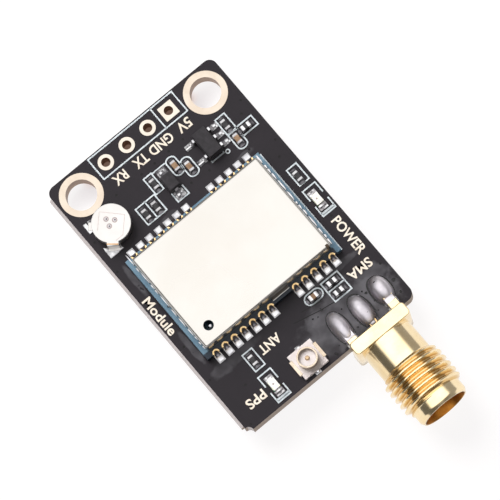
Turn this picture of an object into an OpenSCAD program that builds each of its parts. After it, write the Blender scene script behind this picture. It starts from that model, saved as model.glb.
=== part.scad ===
// Satellite receiver board: castellated receiver module, coin backup cell, edge antenna jack
// Frame: X along the header row, Y from the antenna edge to the header edge, Z out of the
// component side. The origin is midway between the two mounting holes on the underside.

/* [Board] */

// Board width along X
board_w = 20.1; // [18:0.1:24]
// Board length along Y
board_l = 30.1; // [28:0.1:36]
// Board thickness
board_t = 1.6; // [1.2:0.1:2]
// Rounding of the board corners
board_corner_r = 0.8; // [0.3:0.1:1.2]
// Sideways offset of the board centre from the mounting holes
board_shift = 0.1; // [-0.3:0.05:0.3]
// Radius of the routed notch in the corner beside the antenna edge
notch_r = 0.55; // [0.3:0.05:0.8]
// How far the snapped side edge stands out at half thickness
snap_ridge = 0.25; // [0.1:0.05:0.3]

/* [Mounting holes] */

// Distance from the side edges in to the mounting holes
hole_inset = 2.5; // [2.3:0.05:3]
// Finished mounting hole diameter
hole_d = 3.0; // [2.6:0.1:3.2]
// Diameter of the copper ring round each mounting hole
hole_pad_d = 4.25; // [3.8:0.05:4.6]
// Distance from the mounting hole row to the header edge
hole_edge = 2.4; // [2.3:0.05:2.8]
// Copper and plating thickness
plate_t = 0.05; // [0.03:0.01:0.08]

/* [Header] */

// Pitch of the header holes
header_pitch = 2.54; // [2.5:0.02:2.6]
// Finished header hole diameter
header_hole_d = 0.9; // [0.8:0.05:1]
// Header pad diameter
header_pad_d = 1.55; // [1.4:0.05:1.8]
// Header row offset from the mounting holes towards the edge
header_y = 0.94; // [0.8:0.02:1]

/* [Receiver module] */

// Ledge of the module board beyond the can at each end
ledge_x = 0.5; // [0.3:0.05:0.8]
// Ledge of the module board beyond the can along the contact edges
ledge_y = 0.55; // [0.5:0.025:1]
// Module board thickness
module_t = 0.8; // [0.6:0.1:1]
// Module centre along X
module_x = -0.48; // [-1:0.02:0.5]
// Module centre along Y
module_y = -13.98; // [-14.5:0.02:-13.5]
// Pitch of the edge contacts
contact_pitch = 1.1; // [1:0.05:1.2]
// Distance from the module end to its first contact
contact_end = 1.05; // [0.8:0.05:1.4]
// Radius of the half holes in the module edge
contact_r = 0.32; // [0.25:0.01:0.36]
// Length of a land outside the module
land_out = 0.85; // [0.6:0.05:1]
// Width of a land
land_w = 0.72; // [0.5:0.02:0.8]

/* [Shield can] */

// Can length along X
can_w = 15.1; // [14:0.1:15.4]
// Can width along Y
can_l = 11.1; // [10:0.05:11.2]
// Can height above the module board
can_h = 1.6; // [1.3:0.1:2]
// Sheet thickness
can_t = 0.15; // [0.1:0.05:0.25]
// Outer corner radius
can_r = 0.3; // [0.2:0.05:0.6]
// Diameter of the round vent hole
vent_d = 1.0; // [0.6:0.1:1.4]
// Height of the soldered foot on each long wall
foot_h = 0.45; // [0.3:0.05:0.7]
// Length of that foot
foot_w = 1.9; // [1.5:0.1:2.2]
// How far that foot stands out of the wall
foot_out = 0.25; // [0.15:0.05:0.35]

/* [Backup cell] */

// Cell diameter
cell_d = 3.75; // [3.4:0.05:4.2]
// Cell height
cell_h = 1.15; // [1:0.05:1.4]
// Distance from the side edge to the cell centre
cell_inset = 2.75; // [2.5:0.05:3]
// Distance from the mounting hole row back to the cell centre
cell_back = 4.25; // [4.1:0.05:4.4]
// Welded strip thickness
strip_t = 0.12; // [0.1:0.01:0.2]

/* [Antenna jack] */

// Distance from the side edge to the jack axis
jack_inset = 4.71; // [4.4:0.01:5]
// Flange width
flange_w = 6.4; // [6:0.05:7]
// Flange height
flange_h = 5.5; // [5.2:0.1:6.4]
// Flange thickness
flange_t = 1.4; // [1.2:0.1:1.8]
// Plain barrel diameter
barrel_d = 5.35; // [5.2:0.05:5.5]
// Major diameter of the threaded part
thread_d = 6.35; // [6.2:0.01:6.4]
// Distance from the flange to the start of the thread
thread_start = 3.0; // [2.5:0.1:3.5]
// Length of the threaded part
thread_l = 4.3; // [4:0.1:5]
// Length of the barrel in front of the flange
barrel_l = 8.5; // [8.2:0.1:9]
// Diameter of the open mouth
mouth_d = 4.6; // [4.5:0.02:4.7]
// Depth of the open mouth
mouth_depth = 1.9; // [1.5:0.1:2.2]
// Insulator diameter
insulator_d = 4.1; // [3.9:0.05:4.2]
// Centre contact diameter
contact_d = 1.27; // [1.2:0.01:1.3]
// Width and height of a leg
leg_w = 1.0; // [0.8:0.05:1.1]
// Length of a leg over the board
leg_l = 3.0; // [2.4:0.1:3.4]
// Distance between the legs
leg_pitch = 5.1; // [5:0.05:5.2]

/* [Coaxial socket] */

// Place of the socket along the antenna edge, as a share of the board width
socket_share = 0.4264; // [0.4:0.0002:0.44]
// Distance from the antenna edge to the socket centre
socket_inset = 1.72; // [1.7:0.02:2]
// Socket base width
socket_w = 2.75; // [2.5:0.05:2.9]
// Socket base thickness
socket_base_t = 0.4; // [0.3:0.05:0.6]
// Mating ring diameter
socket_d = 2.0; // [1.9:0.05:2.1]
// Mating ring height above the base
socket_h = 0.85; // [0.7:0.05:1]
// Mating ring wall
socket_wall = 0.16; // [0.1:0.02:0.24]
// Contact pin diameter
socket_pin_d = 0.5; // [0.4:0.05:0.6]

/* [Chips] */

// Chip resistor and capacitor length
chip_l = 1.0; // [0.9:0.05:1.1]
// Chip resistor and capacitor width
chip_w = 0.5; // [0.4:0.05:0.6]
// Resistor height
resistor_h = 0.35; // [0.3:0.05:0.4]
// Capacitor height
capacitor_h = 0.5; // [0.4:0.05:0.55]
// Length of an end cap
cap_l = 0.22; // [0.15:0.01:0.3]
// Lamp length
led_l = 1.6; // [1.5:0.05:1.7]
// Lamp width
led_w = 0.8; // [0.7:0.05:0.9]
// Lamp base thickness
led_base_t = 0.3; // [0.2:0.05:0.4]
// Lamp lens height
led_lens_h = 0.35; // [0.3:0.05:0.5]

/* [Hidden] */

$fn = 48;
eps = 0.02;
board_top = board_t;
land_t = plate_t;
seat = board_top + land_t;
edge_y1 = hole_edge;
edge_y0 = hole_edge - board_l;
edge_x0 = board_shift - board_w / 2;
edge_x1 = board_shift + board_w / 2;
hole_spacing = board_w - 2 * hole_inset;
module_w = can_w + 2 * ledge_x;
module_l = can_l + 2 * ledge_y;
contact_gap = module_w - 2 * contact_end - 10 * contact_pitch;
contact_fn = 10;
cell_x = edge_x0 + cell_inset;
cell_y = -cell_back;
jack_x = edge_x1 - jack_inset;
socket_x = edge_x0 + socket_share * board_w;
socket_y = edge_y0 + socket_inset;
module_bottom = seat;
module_top = module_bottom + module_t;
contact_span = 10 * contact_pitch + contact_gap;
contact_x0 = module_x - contact_span / 2;
contact_xs = [
    for (i = [0 : 11])
        contact_x0 + i * contact_pitch + (i > 6 ? contact_gap - contact_pitch : 0)
];
can_x = module_x;
can_y = module_y + 0.04;
foot_x = (contact_xs[6] + contact_xs[7]) / 2;
vent_x = can_x - can_w / 2 + 1.56;
vent_y = can_y - can_l / 2 + 1.535;
flange_y = edge_y0;
jack_front = flange_y - flange_t;
jack_z = board_t / 2;
cell_z = seat + strip_t;
cell_cap_d = cell_d - 0.9;
gasket_w = 0.16;
gasket_depth = 0.5;
chip_side = 0.48 * can_l;
pps_share = 0.2318;
strap_z = 0.15;
can_inner_w = can_w - 2 * can_t;
can_inner_l = can_l - 2 * can_t;
tail_w = 0.76;
tail_t = 0.6;
led_power = [edge_x1 - 1.17, -14.85];
led_pps = [edge_x0 + pps_share * board_w, edge_y0 + 1.92];
resistors_y = [
    [6.98, -3.65],
    [-1.70, -3.70],
    [-4.11, -5.47],
    [-2.93, -5.47],
    [led_power[0], led_power[1] + 2.95],
    [led_pps[0] - 0.05, led_pps[1] + 3.08]
];
resistors_x = [
    [8.34, -5.03],
    [4.98, -21.77],
    [4.92, -22.87]
];
capacitors_y = [
    [7.00, -5.47],
    [0.89, -3.65],
    [1.87, -4.58]
];
capacitors_x = [[2.79, -21.75]];
regulator_at = [4.57, -4.0];
regulator_w = 1.6;
regulator_l = 2.9;
regulator_h = 1.1;
lead_pitch = 0.95;
lead_w = 0.4;
lead_t = 0.15;
diode_at = [-0.42, -4.61];
diode_w = 1.25;
diode_l = 1.7;
diode_h = 0.9;

// Upright block with rounded vertical edges, standing on z = 0
module rounded_block(w, l, h, r) {
    union() {
        translate([-w / 2 + r, -l / 2, 0])
            cube([w - 2 * r, l, h]);
        translate([-w / 2, -l / 2 + r, 0])
            cube([w, l - 2 * r, h]);
        for (sx = [-1, 1])
            for (sy = [-1, 1])
                translate([sx * (w / 2 - r), sy * (l / 2 - r), 0])
                    cylinder(r = r, h = h);
    }
}

// Plain block centred in X and Y, standing on z = 0
module block(w, l, h) {
    translate([-w / 2, -l / 2, 0])
        cube([w, l, h]);
}

// Corner waste that leaves a rounded corner of radius r at the origin
module corner_waste(r, h) {
    difference() {
        translate([-r, -r, -eps])
            cube([r + 1, r + 1, h + 2 * eps]);
        translate([-r, -r, -2 * eps])
            cylinder(r = r, h = h + 4 * eps);
        translate([-r - 1, -r - 1, -2 * eps])
            cube([1, 1, h + 4 * eps]);
    }
}

// Places children at every header hole
module at_header() {
    for (i = [0 : 3])
        translate([(i - 1.5) * header_pitch, header_y, 0])
            children();
}

// Places children at both mounting holes
module at_holes() {
    for (s = [-1, 1])
        translate([s * hole_spacing / 2, 0, 0])
            children();
}

// Ridge left along the side edge where the board was snapped off its panel
module snapped_edge() {
    translate([edge_x0, edge_y1 - board_corner_r, 0])
        rotate([90, 0, 0])
            linear_extrude(height = board_l - board_corner_r - 1.5 * notch_r)
                polygon([
                    [0.1, 0.2 * board_t],
                    [0, 0.2 * board_t],
                    [-snap_ridge, 0.35 * board_t],
                    [-snap_ridge, 0.6 * board_t],
                    [0, 0.95 * board_t],
                    [0.1, 0.95 * board_t]
                ]);
}

module board() {
    color([0.16, 0.15, 0.16])
        difference() {
            union() {
                translate([edge_x0, edge_y0, 0])
                    cube([board_w, board_l, board_t]);
                snapped_edge();
            }
            translate([edge_x1, edge_y1, 0])
                corner_waste(board_corner_r, board_t);
            translate([edge_x0, edge_y1, 0])
                rotate([0, 0, 90])
                    corner_waste(board_corner_r, board_t);
            translate([edge_x1, edge_y0, 0])
                rotate([0, 0, -90])
                    corner_waste(board_corner_r, board_t);
            translate([edge_x0, edge_y0, -eps])
                cylinder(r = notch_r, h = board_t + 2 * eps);
            at_holes()
                translate([0, 0, -eps])
                    cylinder(d = hole_d + 2 * plate_t, h = board_t + 2 * eps);
            at_header()
                translate([0, 0, -eps])
                    cylinder(d = header_hole_d + 2 * plate_t, h = board_t + 2 * eps);
        }
}

module mounting_hole_plating() {
    color([1.0, 0.93, 0.78])
        at_holes()
            difference() {
                union() {
                    cylinder(d = hole_d + 2 * plate_t, h = board_t);
                    translate([0, 0, board_t])
                        cylinder(d = hole_pad_d, h = plate_t);
                    translate([0, 0, -plate_t])
                        cylinder(d = hole_pad_d, h = plate_t);
                }
                translate([0, 0, -1])
                    cylinder(d = hole_d, h = board_t + 2);
            }
}

module header_hole_plating() {
    color([1.0, 0.93, 0.78])
        for (i = [0 : 3])
            translate([(i - 1.5) * header_pitch, header_y, 0])
                difference() {
                    union() {
                        cylinder(d = header_hole_d + 2 * plate_t, h = board_t);
                        for (z = [-plate_t, board_t])
                            translate([0, 0, z]) {
                                if (i == 3)
                                    block(header_pad_d, header_pad_d, plate_t);
                                else
                                    cylinder(d = header_pad_d, h = plate_t);
                            }
                    }
                    translate([0, 0, -1])
                        cylinder(d = header_hole_d, h = board_t + 2);
                }
}

// Two lands under the ends of a chip lying along Y
module chip_lands(l, w) {
    for (s = [-1, 1])
        translate([0, s * l / 2, board_top])
            block(w, 0.6, land_t);
}

module component_lands() {
    color([0.85, 0.83, 0.8]) {
        for (p = resistors_y)
            translate([p[0], p[1], 0])
                chip_lands(chip_l, 0.6);
        for (p = resistors_x)
            translate([p[0], p[1], 0])
                rotate([0, 0, 90])
                    chip_lands(chip_l, 0.6);
        for (p = capacitors_y)
            translate([p[0], p[1], 0])
                chip_lands(chip_l, 0.6);
        for (p = capacitors_x)
            translate([p[0], p[1], 0])
                rotate([0, 0, 90])
                    chip_lands(chip_l, 0.6);
        for (p = [led_power, led_pps])
            translate([p[0], p[1], 0])
                chip_lands(led_l, 0.9);
        for (i = [-1, 0, 1])
            translate([regulator_at[0] + 1.45, regulator_at[1] + i * lead_pitch, board_top])
                block(0.9, 0.55, land_t);
        for (i = [-1, 1])
            translate([regulator_at[0] - 1.45, regulator_at[1] + i * lead_pitch, board_top])
                block(0.9, 0.55, land_t);
        for (s = [-1, 1])
            translate([diode_at[0], diode_at[1] + s * 1.35, board_top])
                block(1.0, 0.9, land_t);
        translate([cell_x - 1.65, cell_y + 1.35, board_top])
            block(0.95, 1.1, land_t);
        translate([cell_x - 1.3, cell_y - 1.8, board_top])
            block(1.5, 1.0, land_t);
        translate([socket_x, socket_y, board_top])
            block(socket_w + 0.35, 1.7, land_t);
        for (s = [-1, 1])
            translate([socket_x, socket_y + s * (socket_w / 2 + 0.05), board_top])
                block(0.6, 0.5, land_t);
        for (s = [-1, 0, 1])
            translate([jack_x + s * leg_pitch / 2, edge_y0 + leg_l / 2 + 0.2, board_top])
                block(1.3, leg_l + 0.4, land_t);
    }
}

module module_lands() {
    color([0.9, 0.88, 0.86])
        for (x = contact_xs)
            for (s = [-1, 1])
                translate([x, module_y + s * (module_l / 2 + land_out / 2 - 0.4), board_top])
                    block(land_w, land_out + 0.8, land_t);
}

module module_board() {
    color([0.24, 0.44, 0.58])
        difference() {
            translate([module_x, module_y, module_bottom])
                block(module_w, module_l, module_t);
            for (x = contact_xs)
                for (s = [-1, 1])
                    translate([x, module_y + s * module_l / 2, module_bottom - eps])
                        cylinder(r = contact_r, h = module_t + 2 * eps, $fn = contact_fn);
        }
}

module module_castellations() {
    color([0.95, 0.85, 0.55])
        for (x = contact_xs)
            for (s = [-1, 1])
                translate([x, module_y + s * module_l / 2, module_bottom])
                    difference() {
                        cylinder(r = contact_r, h = module_t, $fn = contact_fn);
                        translate([0, 0, -eps])
                            cylinder(r = contact_r - 0.08, h = module_t + 2 * eps, $fn = contact_fn);
                        translate([-1, s > 0 ? 0 : -1, -eps])
                            cube([2, 1, module_t + 2 * eps]);
                    }
}

// Sloped foot that solders the +Y wall of the can to the module board
module can_foot() {
    translate([-foot_w / 2, can_l / 2 - can_t, 0])
        rotate([90, 0, 90])
            linear_extrude(height = foot_w)
                polygon([
                    [0, 0],
                    [can_t + foot_out, 0],
                    [can_t + foot_out, 0.08],
                    [can_t, foot_h],
                    [0, foot_h]
                ]);
}

// Folded sheet can: wall and lid of one thickness, open below, with a soldered foot on each
// long wall, a notch in the middle of each short wall, a slit at one corner and a round vent
module shield_can() {
    color([0.96, 0.94, 0.9])
        translate([can_x, can_y, module_top])
            union() {
                for (turn = [0, 180])
                    translate([foot_x - can_x, 0, 0])
                        rotate([0, 0, turn])
                            can_foot();
                difference() {
                    rounded_block(can_w, can_l, can_h, can_r);
                    translate([0, 0, -eps])
                        rounded_block(can_inner_w, can_inner_l, can_h - can_t + eps, can_r - can_t);
                    translate([vent_x - can_x, vent_y - can_y, can_h - can_t - eps])
                        cylinder(d = vent_d, h = can_t + 2 * eps);
                    translate([0, 0, -eps])
                        block(can_w + 1, 0.3, 0.35 + eps);
                    translate([can_w / 2 - can_r - 0.1, -can_l / 2, can_h * 0.35])
                        block(0.22, 0.6, can_h);
                }
            }
}

module receiver_chip() {
    color([0.13, 0.13, 0.14])
        translate([module_x - 0.16 * module_w, module_y - 0.4, module_top])
            block(chip_side, chip_side, 0.85);
}

module oscillator() {
    color([0.85, 0.84, 0.8])
        translate([module_x + 0.172 * can_w, module_y + 0.234 * can_l, module_top])
            block(2.0, 1.6, 0.7);
}

module clock_crystal() {
    color([0.88, 0.87, 0.83])
        translate([module_x - 0.225 * can_w, module_y + 0.351 * can_l, module_top])
            block(3.2, 1.5, 0.75);
}

module input_filters() {
    color([0.8, 0.74, 0.6]) {
        translate([module_x + 0.238 * can_w, module_y - 0.108 * can_l, module_top])
            block(1.4, 1.1, 0.5);
        translate([module_x + 0.371 * can_w, module_y - 0.108 * can_l, module_top])
            block(1.4, 1.1, 0.5);
    }
}

module amplifier_chip() {
    color([0.13, 0.13, 0.14])
        translate([module_x + 0.305 * can_w, module_y - 0.306 * can_l, module_top])
            block(1.5, 1.0, 0.5);
}

module cell_case() {
    color([0.93, 0.92, 0.9])
        translate([cell_x, cell_y, cell_z])
            difference() {
                cylinder(d = cell_d, h = cell_h - 0.08);
                translate([0, 0, cell_h - gasket_depth])
                    cylinder(d = cell_cap_d + 2 * gasket_w, h = gasket_depth);
            }
}

module cell_gasket() {
    color([0.2, 0.2, 0.22])
        translate([cell_x, cell_y, cell_z + cell_h - gasket_depth])
            difference() {
                cylinder(d = cell_cap_d + 2 * gasket_w, h = gasket_depth - 0.06);
                translate([0, 0, -eps])
                    cylinder(d = cell_cap_d, h = gasket_depth + 2 * eps);
            }
}

module cell_cap() {
    color([0.95, 0.94, 0.92])
        translate([cell_x, cell_y, cell_z + cell_h - gasket_depth])
            cylinder(d = cell_cap_d, h = gasket_depth);
}

// Strip welded on the cap: a round plate over the cell, a bent leg and a foot on its land
module cell_top_strip() {
    top = cell_z + cell_h;
    color([0.97, 0.95, 0.92])
        union() {
            translate([cell_x, cell_y, top])
                cylinder(d = cell_d, h = strip_t);
            translate([cell_x, cell_y, top])
                rotate([0, 0, 236])
                    translate([1.2, -0.55, 0])
                        cube([0.95, 1.1, strip_t]);
            translate([cell_x, cell_y, seat])
                rotate([0, 0, 236])
                    translate([2.03, -0.55, 0])
                        cube([strip_t, 1.1, top - seat + strip_t]);
            translate([cell_x, cell_y, seat])
                rotate([0, 0, 236])
                    translate([2.03, -0.55, 0])
                        cube([0.35, 1.1, strip_t]);
        }
}

module cell_bottom_strip() {
    color([0.9, 0.89, 0.87])
        translate([0, 0, seat])
            union() {
                translate([cell_x, cell_y, 0])
                    cylinder(d = cell_d - 1.0, h = strip_t);
                translate([cell_x, cell_y, 0])
                    rotate([0, 0, 140.7])
                        translate([0, -0.4, 0])
                            cube([2.3, 0.8, strip_t]);
            }
}

// Jack shell: flange, plain barrel, thread at its major diameter, nose, legs and stepped bore
module jack_body() {
    color([0.95, 0.83, 0.55])
        translate([jack_x, 0, jack_z])
            difference() {
                union() {
                    translate([-flange_w / 2, jack_front, -flange_h / 2])
                        cube([flange_w, flange_t, flange_h]);
                    translate([0, jack_front + eps, 0])
                        rotate([90, 0, 0])
                            cylinder(d = barrel_d, h = barrel_l - 0.3 + eps);
                    translate([0, jack_front - barrel_l + 0.3, 0])
                        rotate([90, 0, 0])
                            cylinder(d1 = barrel_d, d2 = barrel_d - 0.4, h = 0.3);
                    translate([0, jack_front - thread_start, 0])
                        rotate([90, 0, 0])
                            cylinder(d = thread_d, h = thread_l);
                    for (s = [-1, 1])
                        for (z = [board_t / 2 + land_t, -board_t / 2 - leg_w])
                            translate([s * leg_pitch / 2 - leg_w / 2, jack_front, z])
                                cube([leg_w, flange_t + leg_l, leg_w]);
                }
                translate([0, jack_front - barrel_l + mouth_depth, 0])
                    rotate([90, 0, 0])
                        cylinder(d = mouth_d, h = mouth_depth + 1);
                translate([0, flange_y + 1, 0])
                    rotate([90, 0, 0])
                        cylinder(d = insulator_d, h = flange_t + barrel_l + 0.5);
            }
}

module jack_insulator() {
    len = flange_t + barrel_l - mouth_depth;
    color([0.95, 0.94, 0.9])
        translate([jack_x, flange_y, jack_z])
            difference() {
                rotate([90, 0, 0])
                    cylinder(d = insulator_d, h = len);
                rotate([90, 0, 0])
                    translate([0, 0, -1])
                        cylinder(d = contact_d, h = len + 2);
                translate([-tail_w / 2, -0.8, 0])
                    cube([tail_w, 1, board_t / 2 + land_t + tail_t]);
            }
}

// Centre contact: socket in front, riser at the back and a flat tail on the board
module jack_contact() {
    len = flange_t + barrel_l - mouth_depth;
    color([0.93, 0.8, 0.5])
        translate([jack_x, flange_y, jack_z])
            difference() {
                union() {
                    rotate([90, 0, 0])
                        cylinder(d = contact_d, h = len + 0.6);
                    translate([-tail_w / 2, -0.8, 0])
                        cube([tail_w, 0.8, board_t / 2 + land_t + tail_t]);
                    translate([-tail_w / 2, -0.8, board_t / 2 + land_t])
                        cube([tail_w, 0.8 + leg_l - 0.3, tail_t]);
                }
                translate([0, -len - 0.6 + 2.4, 0])
                    rotate([90, 0, 0])
                        cylinder(d = 0.94, h = 3);
            }
}

// Posts under the mating ring and the straps to its tabs, moulded into the base
module socket_insert() {
    for (s = [-1, 1]) {
        translate([s * (socket_d - socket_wall - 0.02) / 2, 0, strap_z])
            block(socket_wall - 0.04, 0.4, socket_base_t - strap_z + 0.05);
        translate([s * (socket_d / 2 + 0.05), 0, strap_z])
            block(0.4, 0.9, 0.1);
    }
}

module socket_base() {
    color([0.93, 0.88, 0.87])
        translate([socket_x, socket_y, seat])
            difference() {
                block(socket_w, socket_w, socket_base_t);
                for (s = [-1, 1])
                    translate([s * socket_w / 2, 0, -eps])
                        block(0.3, 1.7, socket_base_t + 2 * eps);
                for (s = [-1, 1])
                    translate([0, s * socket_w / 2, -eps])
                        block(0.6, 0.2, 0.15 + eps);
                translate([0, 0, socket_base_t - 0.2])
                    cylinder(d = socket_pin_d + 0.2, h = 1);
                socket_insert();
            }
}

// Mating ring with two side tabs bent onto their lands
module socket_shell() {
    color([0.96, 0.88, 0.72])
        translate([socket_x, socket_y, seat])
            union() {
                translate([0, 0, socket_base_t])
                    difference() {
                        cylinder(d = socket_d, h = socket_h);
                        translate([0, 0, -eps])
                            cylinder(d = socket_d - 2 * socket_wall, h = socket_h + 2 * eps);
                    }
                socket_insert();
                for (s = [-1, 1])
                    translate([s * (socket_w / 2 + 0.025), 0, 0])
                        block(0.35, 1.66, socket_base_t);
            }
}

module socket_pin() {
    color([0.95, 0.82, 0.5])
        translate([socket_x, socket_y, seat])
            union() {
                translate([0, 0, socket_base_t - 0.2])
                    cylinder(d = socket_pin_d + 0.2, h = 0.2);
                translate([0, 0, socket_base_t])
                    cylinder(d = socket_pin_d, h = 0.45);
                translate([0, 0, socket_base_t + 0.45])
                    cylinder(d1 = socket_pin_d, d2 = socket_pin_d - 0.2, h = 0.15);
            }
}

// Lamp base with its lens, lying along Y
module led_base() {
    block(led_w, led_l - 2 * cap_l, led_base_t);
}

module led_lens() {
    translate([0, 0, led_base_t])
        block(led_w - 0.06, led_l - 2 * cap_l - 0.1, led_lens_h);
}

module power_led_base() {
    color([0.88, 0.9, 0.84])
        translate([led_power[0], led_power[1], seat])
            led_base();
}

module power_led_lens() {
    color([0.97, 0.97, 0.93])
        translate([led_power[0], led_power[1], seat])
            led_lens();
}

module pps_led_base() {
    color([0.88, 0.9, 0.84])
        translate([led_pps[0], led_pps[1], seat])
            led_base();
}

module pps_led_lens() {
    color([0.97, 0.97, 0.93])
        translate([led_pps[0], led_pps[1], seat])
            led_lens();
}

// Two end caps of a chip lying along Y
module end_caps(l, w, h) {
    for (s = [-1, 1])
        translate([0, s * (l - cap_l) / 2, 0])
            block(w, cap_l, h);
}

module led_terminals() {
    color([0.8, 0.79, 0.77])
        for (p = [led_power, led_pps])
            translate([p[0], p[1], seat])
                end_caps(led_l, led_w, led_base_t);
}

module regulator_body() {
    color([0.12, 0.12, 0.13])
        translate([regulator_at[0], regulator_at[1], seat + 0.05])
            union() {
                block(regulator_w, regulator_l, regulator_h * 0.62);
                translate([0, 0, regulator_h * 0.62])
                    block(regulator_w - 0.16, regulator_l - 0.16, regulator_h * 0.38);
            }
}

// One bent lead pointing along +X from the body side at the origin
module gull_lead() {
    knee = 0.25;
    rise = 0.5;
    union() {
        translate([0, -lead_w / 2, rise])
            cube([knee, lead_w, lead_t]);
        translate([knee - lead_t, -lead_w / 2, 0])
            cube([lead_t, lead_w, rise + lead_t]);
        translate([knee - lead_t, -lead_w / 2, 0])
            cube([0.5, lead_w, lead_t]);
    }
}

module regulator_leads() {
    color([0.82, 0.8, 0.77])
        translate([regulator_at[0], regulator_at[1], seat]) {
            for (i = [-1, 0, 1])
                translate([regulator_w / 2, i * lead_pitch, 0])
                    gull_lead();
            for (i = [-1, 1])
                translate([-regulator_w / 2, i * lead_pitch, 0])
                    rotate([0, 0, 180])
                        gull_lead();
        }
}

module diode_body() {
    color([0.13, 0.13, 0.14])
        translate([diode_at[0], diode_at[1], seat + 0.05])
            union() {
                block(diode_w, diode_l, diode_h * 0.75);
                translate([0, 0, diode_h * 0.75])
                    block(diode_w - 0.14, diode_l - 0.14, diode_h * 0.25);
            }
}

module diode_leads() {
    color([0.8, 0.78, 0.75])
        translate([diode_at[0], diode_at[1], seat])
            for (a = [90, -90])
                rotate([0, 0, a])
                    translate([diode_l / 2, 0, 0])
                        gull_lead();
}

// Ceramic bodies between their end caps
module chip_body(h) {
    block(chip_w, chip_l - 2 * cap_l, h);
}

module resistors() {
    color([0.1, 0.1, 0.11]) {
        for (p = resistors_y)
            translate([p[0], p[1], seat])
                chip_body(resistor_h);
        for (p = resistors_x)
            translate([p[0], p[1], seat])
                rotate([0, 0, 90])
                    chip_body(resistor_h);
    }
}

module resistor_caps() {
    color([0.82, 0.81, 0.79]) {
        for (p = resistors_y)
            translate([p[0], p[1], seat])
                end_caps(chip_l, chip_w, resistor_h);
        for (p = resistors_x)
            translate([p[0], p[1], seat])
                rotate([0, 0, 90])
                    end_caps(chip_l, chip_w, resistor_h);
    }
}

module capacitors() {
    color([0.68, 0.55, 0.42]) {
        for (p = capacitors_y)
            translate([p[0], p[1], seat])
                chip_body(capacitor_h);
        for (p = capacitors_x)
            translate([p[0], p[1], seat])
                rotate([0, 0, 90])
                    chip_body(capacitor_h);
    }
}

module capacitor_caps() {
    color([0.82, 0.81, 0.79]) {
        for (p = capacitors_y)
            translate([p[0], p[1], seat])
                end_caps(chip_l, chip_w, capacitor_h);
        for (p = capacitors_x)
            translate([p[0], p[1], seat])
                rotate([0, 0, 90])
                    end_caps(chip_l, chip_w, capacitor_h);
    }
}

board();
mounting_hole_plating();
header_hole_plating();
component_lands();
module_lands();
module_board();
module_castellations();
shield_can();
receiver_chip();
oscillator();
clock_crystal();
input_filters();
amplifier_chip();
cell_case();
cell_gasket();
cell_cap();
cell_top_strip();
cell_bottom_strip();
jack_body();
jack_insulator();
jack_contact();
socket_base();
socket_shell();
socket_pin();
power_led_base();
power_led_lens();
pps_led_base();
pps_led_lens();
led_terminals();
regulator_body();
regulator_leads();
diode_body();
diode_leads();
resistors();
resistor_caps();
capacitors();
capacitor_caps();
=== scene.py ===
"""Looks of the receiver board: materials, solder, thread, legend, lettering, light and camera."""

import math
import random

import bmesh
import bpy
from mathutils import Matrix, Vector

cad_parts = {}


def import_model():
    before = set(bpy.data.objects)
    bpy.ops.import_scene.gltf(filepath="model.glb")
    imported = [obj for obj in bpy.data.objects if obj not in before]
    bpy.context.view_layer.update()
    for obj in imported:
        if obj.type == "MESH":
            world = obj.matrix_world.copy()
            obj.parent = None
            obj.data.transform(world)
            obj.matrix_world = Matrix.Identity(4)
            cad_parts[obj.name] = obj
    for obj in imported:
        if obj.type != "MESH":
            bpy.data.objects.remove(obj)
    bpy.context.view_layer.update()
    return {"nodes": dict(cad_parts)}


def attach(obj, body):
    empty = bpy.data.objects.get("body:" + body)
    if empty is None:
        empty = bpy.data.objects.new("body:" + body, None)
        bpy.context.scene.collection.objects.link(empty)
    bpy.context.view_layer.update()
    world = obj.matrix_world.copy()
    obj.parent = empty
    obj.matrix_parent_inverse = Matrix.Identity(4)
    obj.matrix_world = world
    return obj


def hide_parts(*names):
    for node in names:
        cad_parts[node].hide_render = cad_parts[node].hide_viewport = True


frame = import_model()

MM = 0.001
BODY = "root"
BOARD_TOP = 1.6
SEAT = 1.65
MODULE_TOP = SEAT + 0.8
INK = 0.02
JACK_X = 5.44
JACK_Z = 0.8
SOCKET_X = -1.38
SOCKET_Y = -25.98

random.seed(7)


# Colours and materials


def linear(r, g, b):
    """Linear colour of an 8-bit screen colour."""
    out = []
    for v in (r, g, b):
        v = v / 255.0
        out.append(v / 12.92 if v <= 0.04045 else ((v + 0.055) / 1.055) ** 2.4)
    return (*out, 1.0)


STIR = (0.35, 0.68)
NOISE_ROUGHNESS = 0.55
RELIEF_DEPTH = 0.05
SHINE = 0.25
COAT_ROUGHNESS = 0.12


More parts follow.
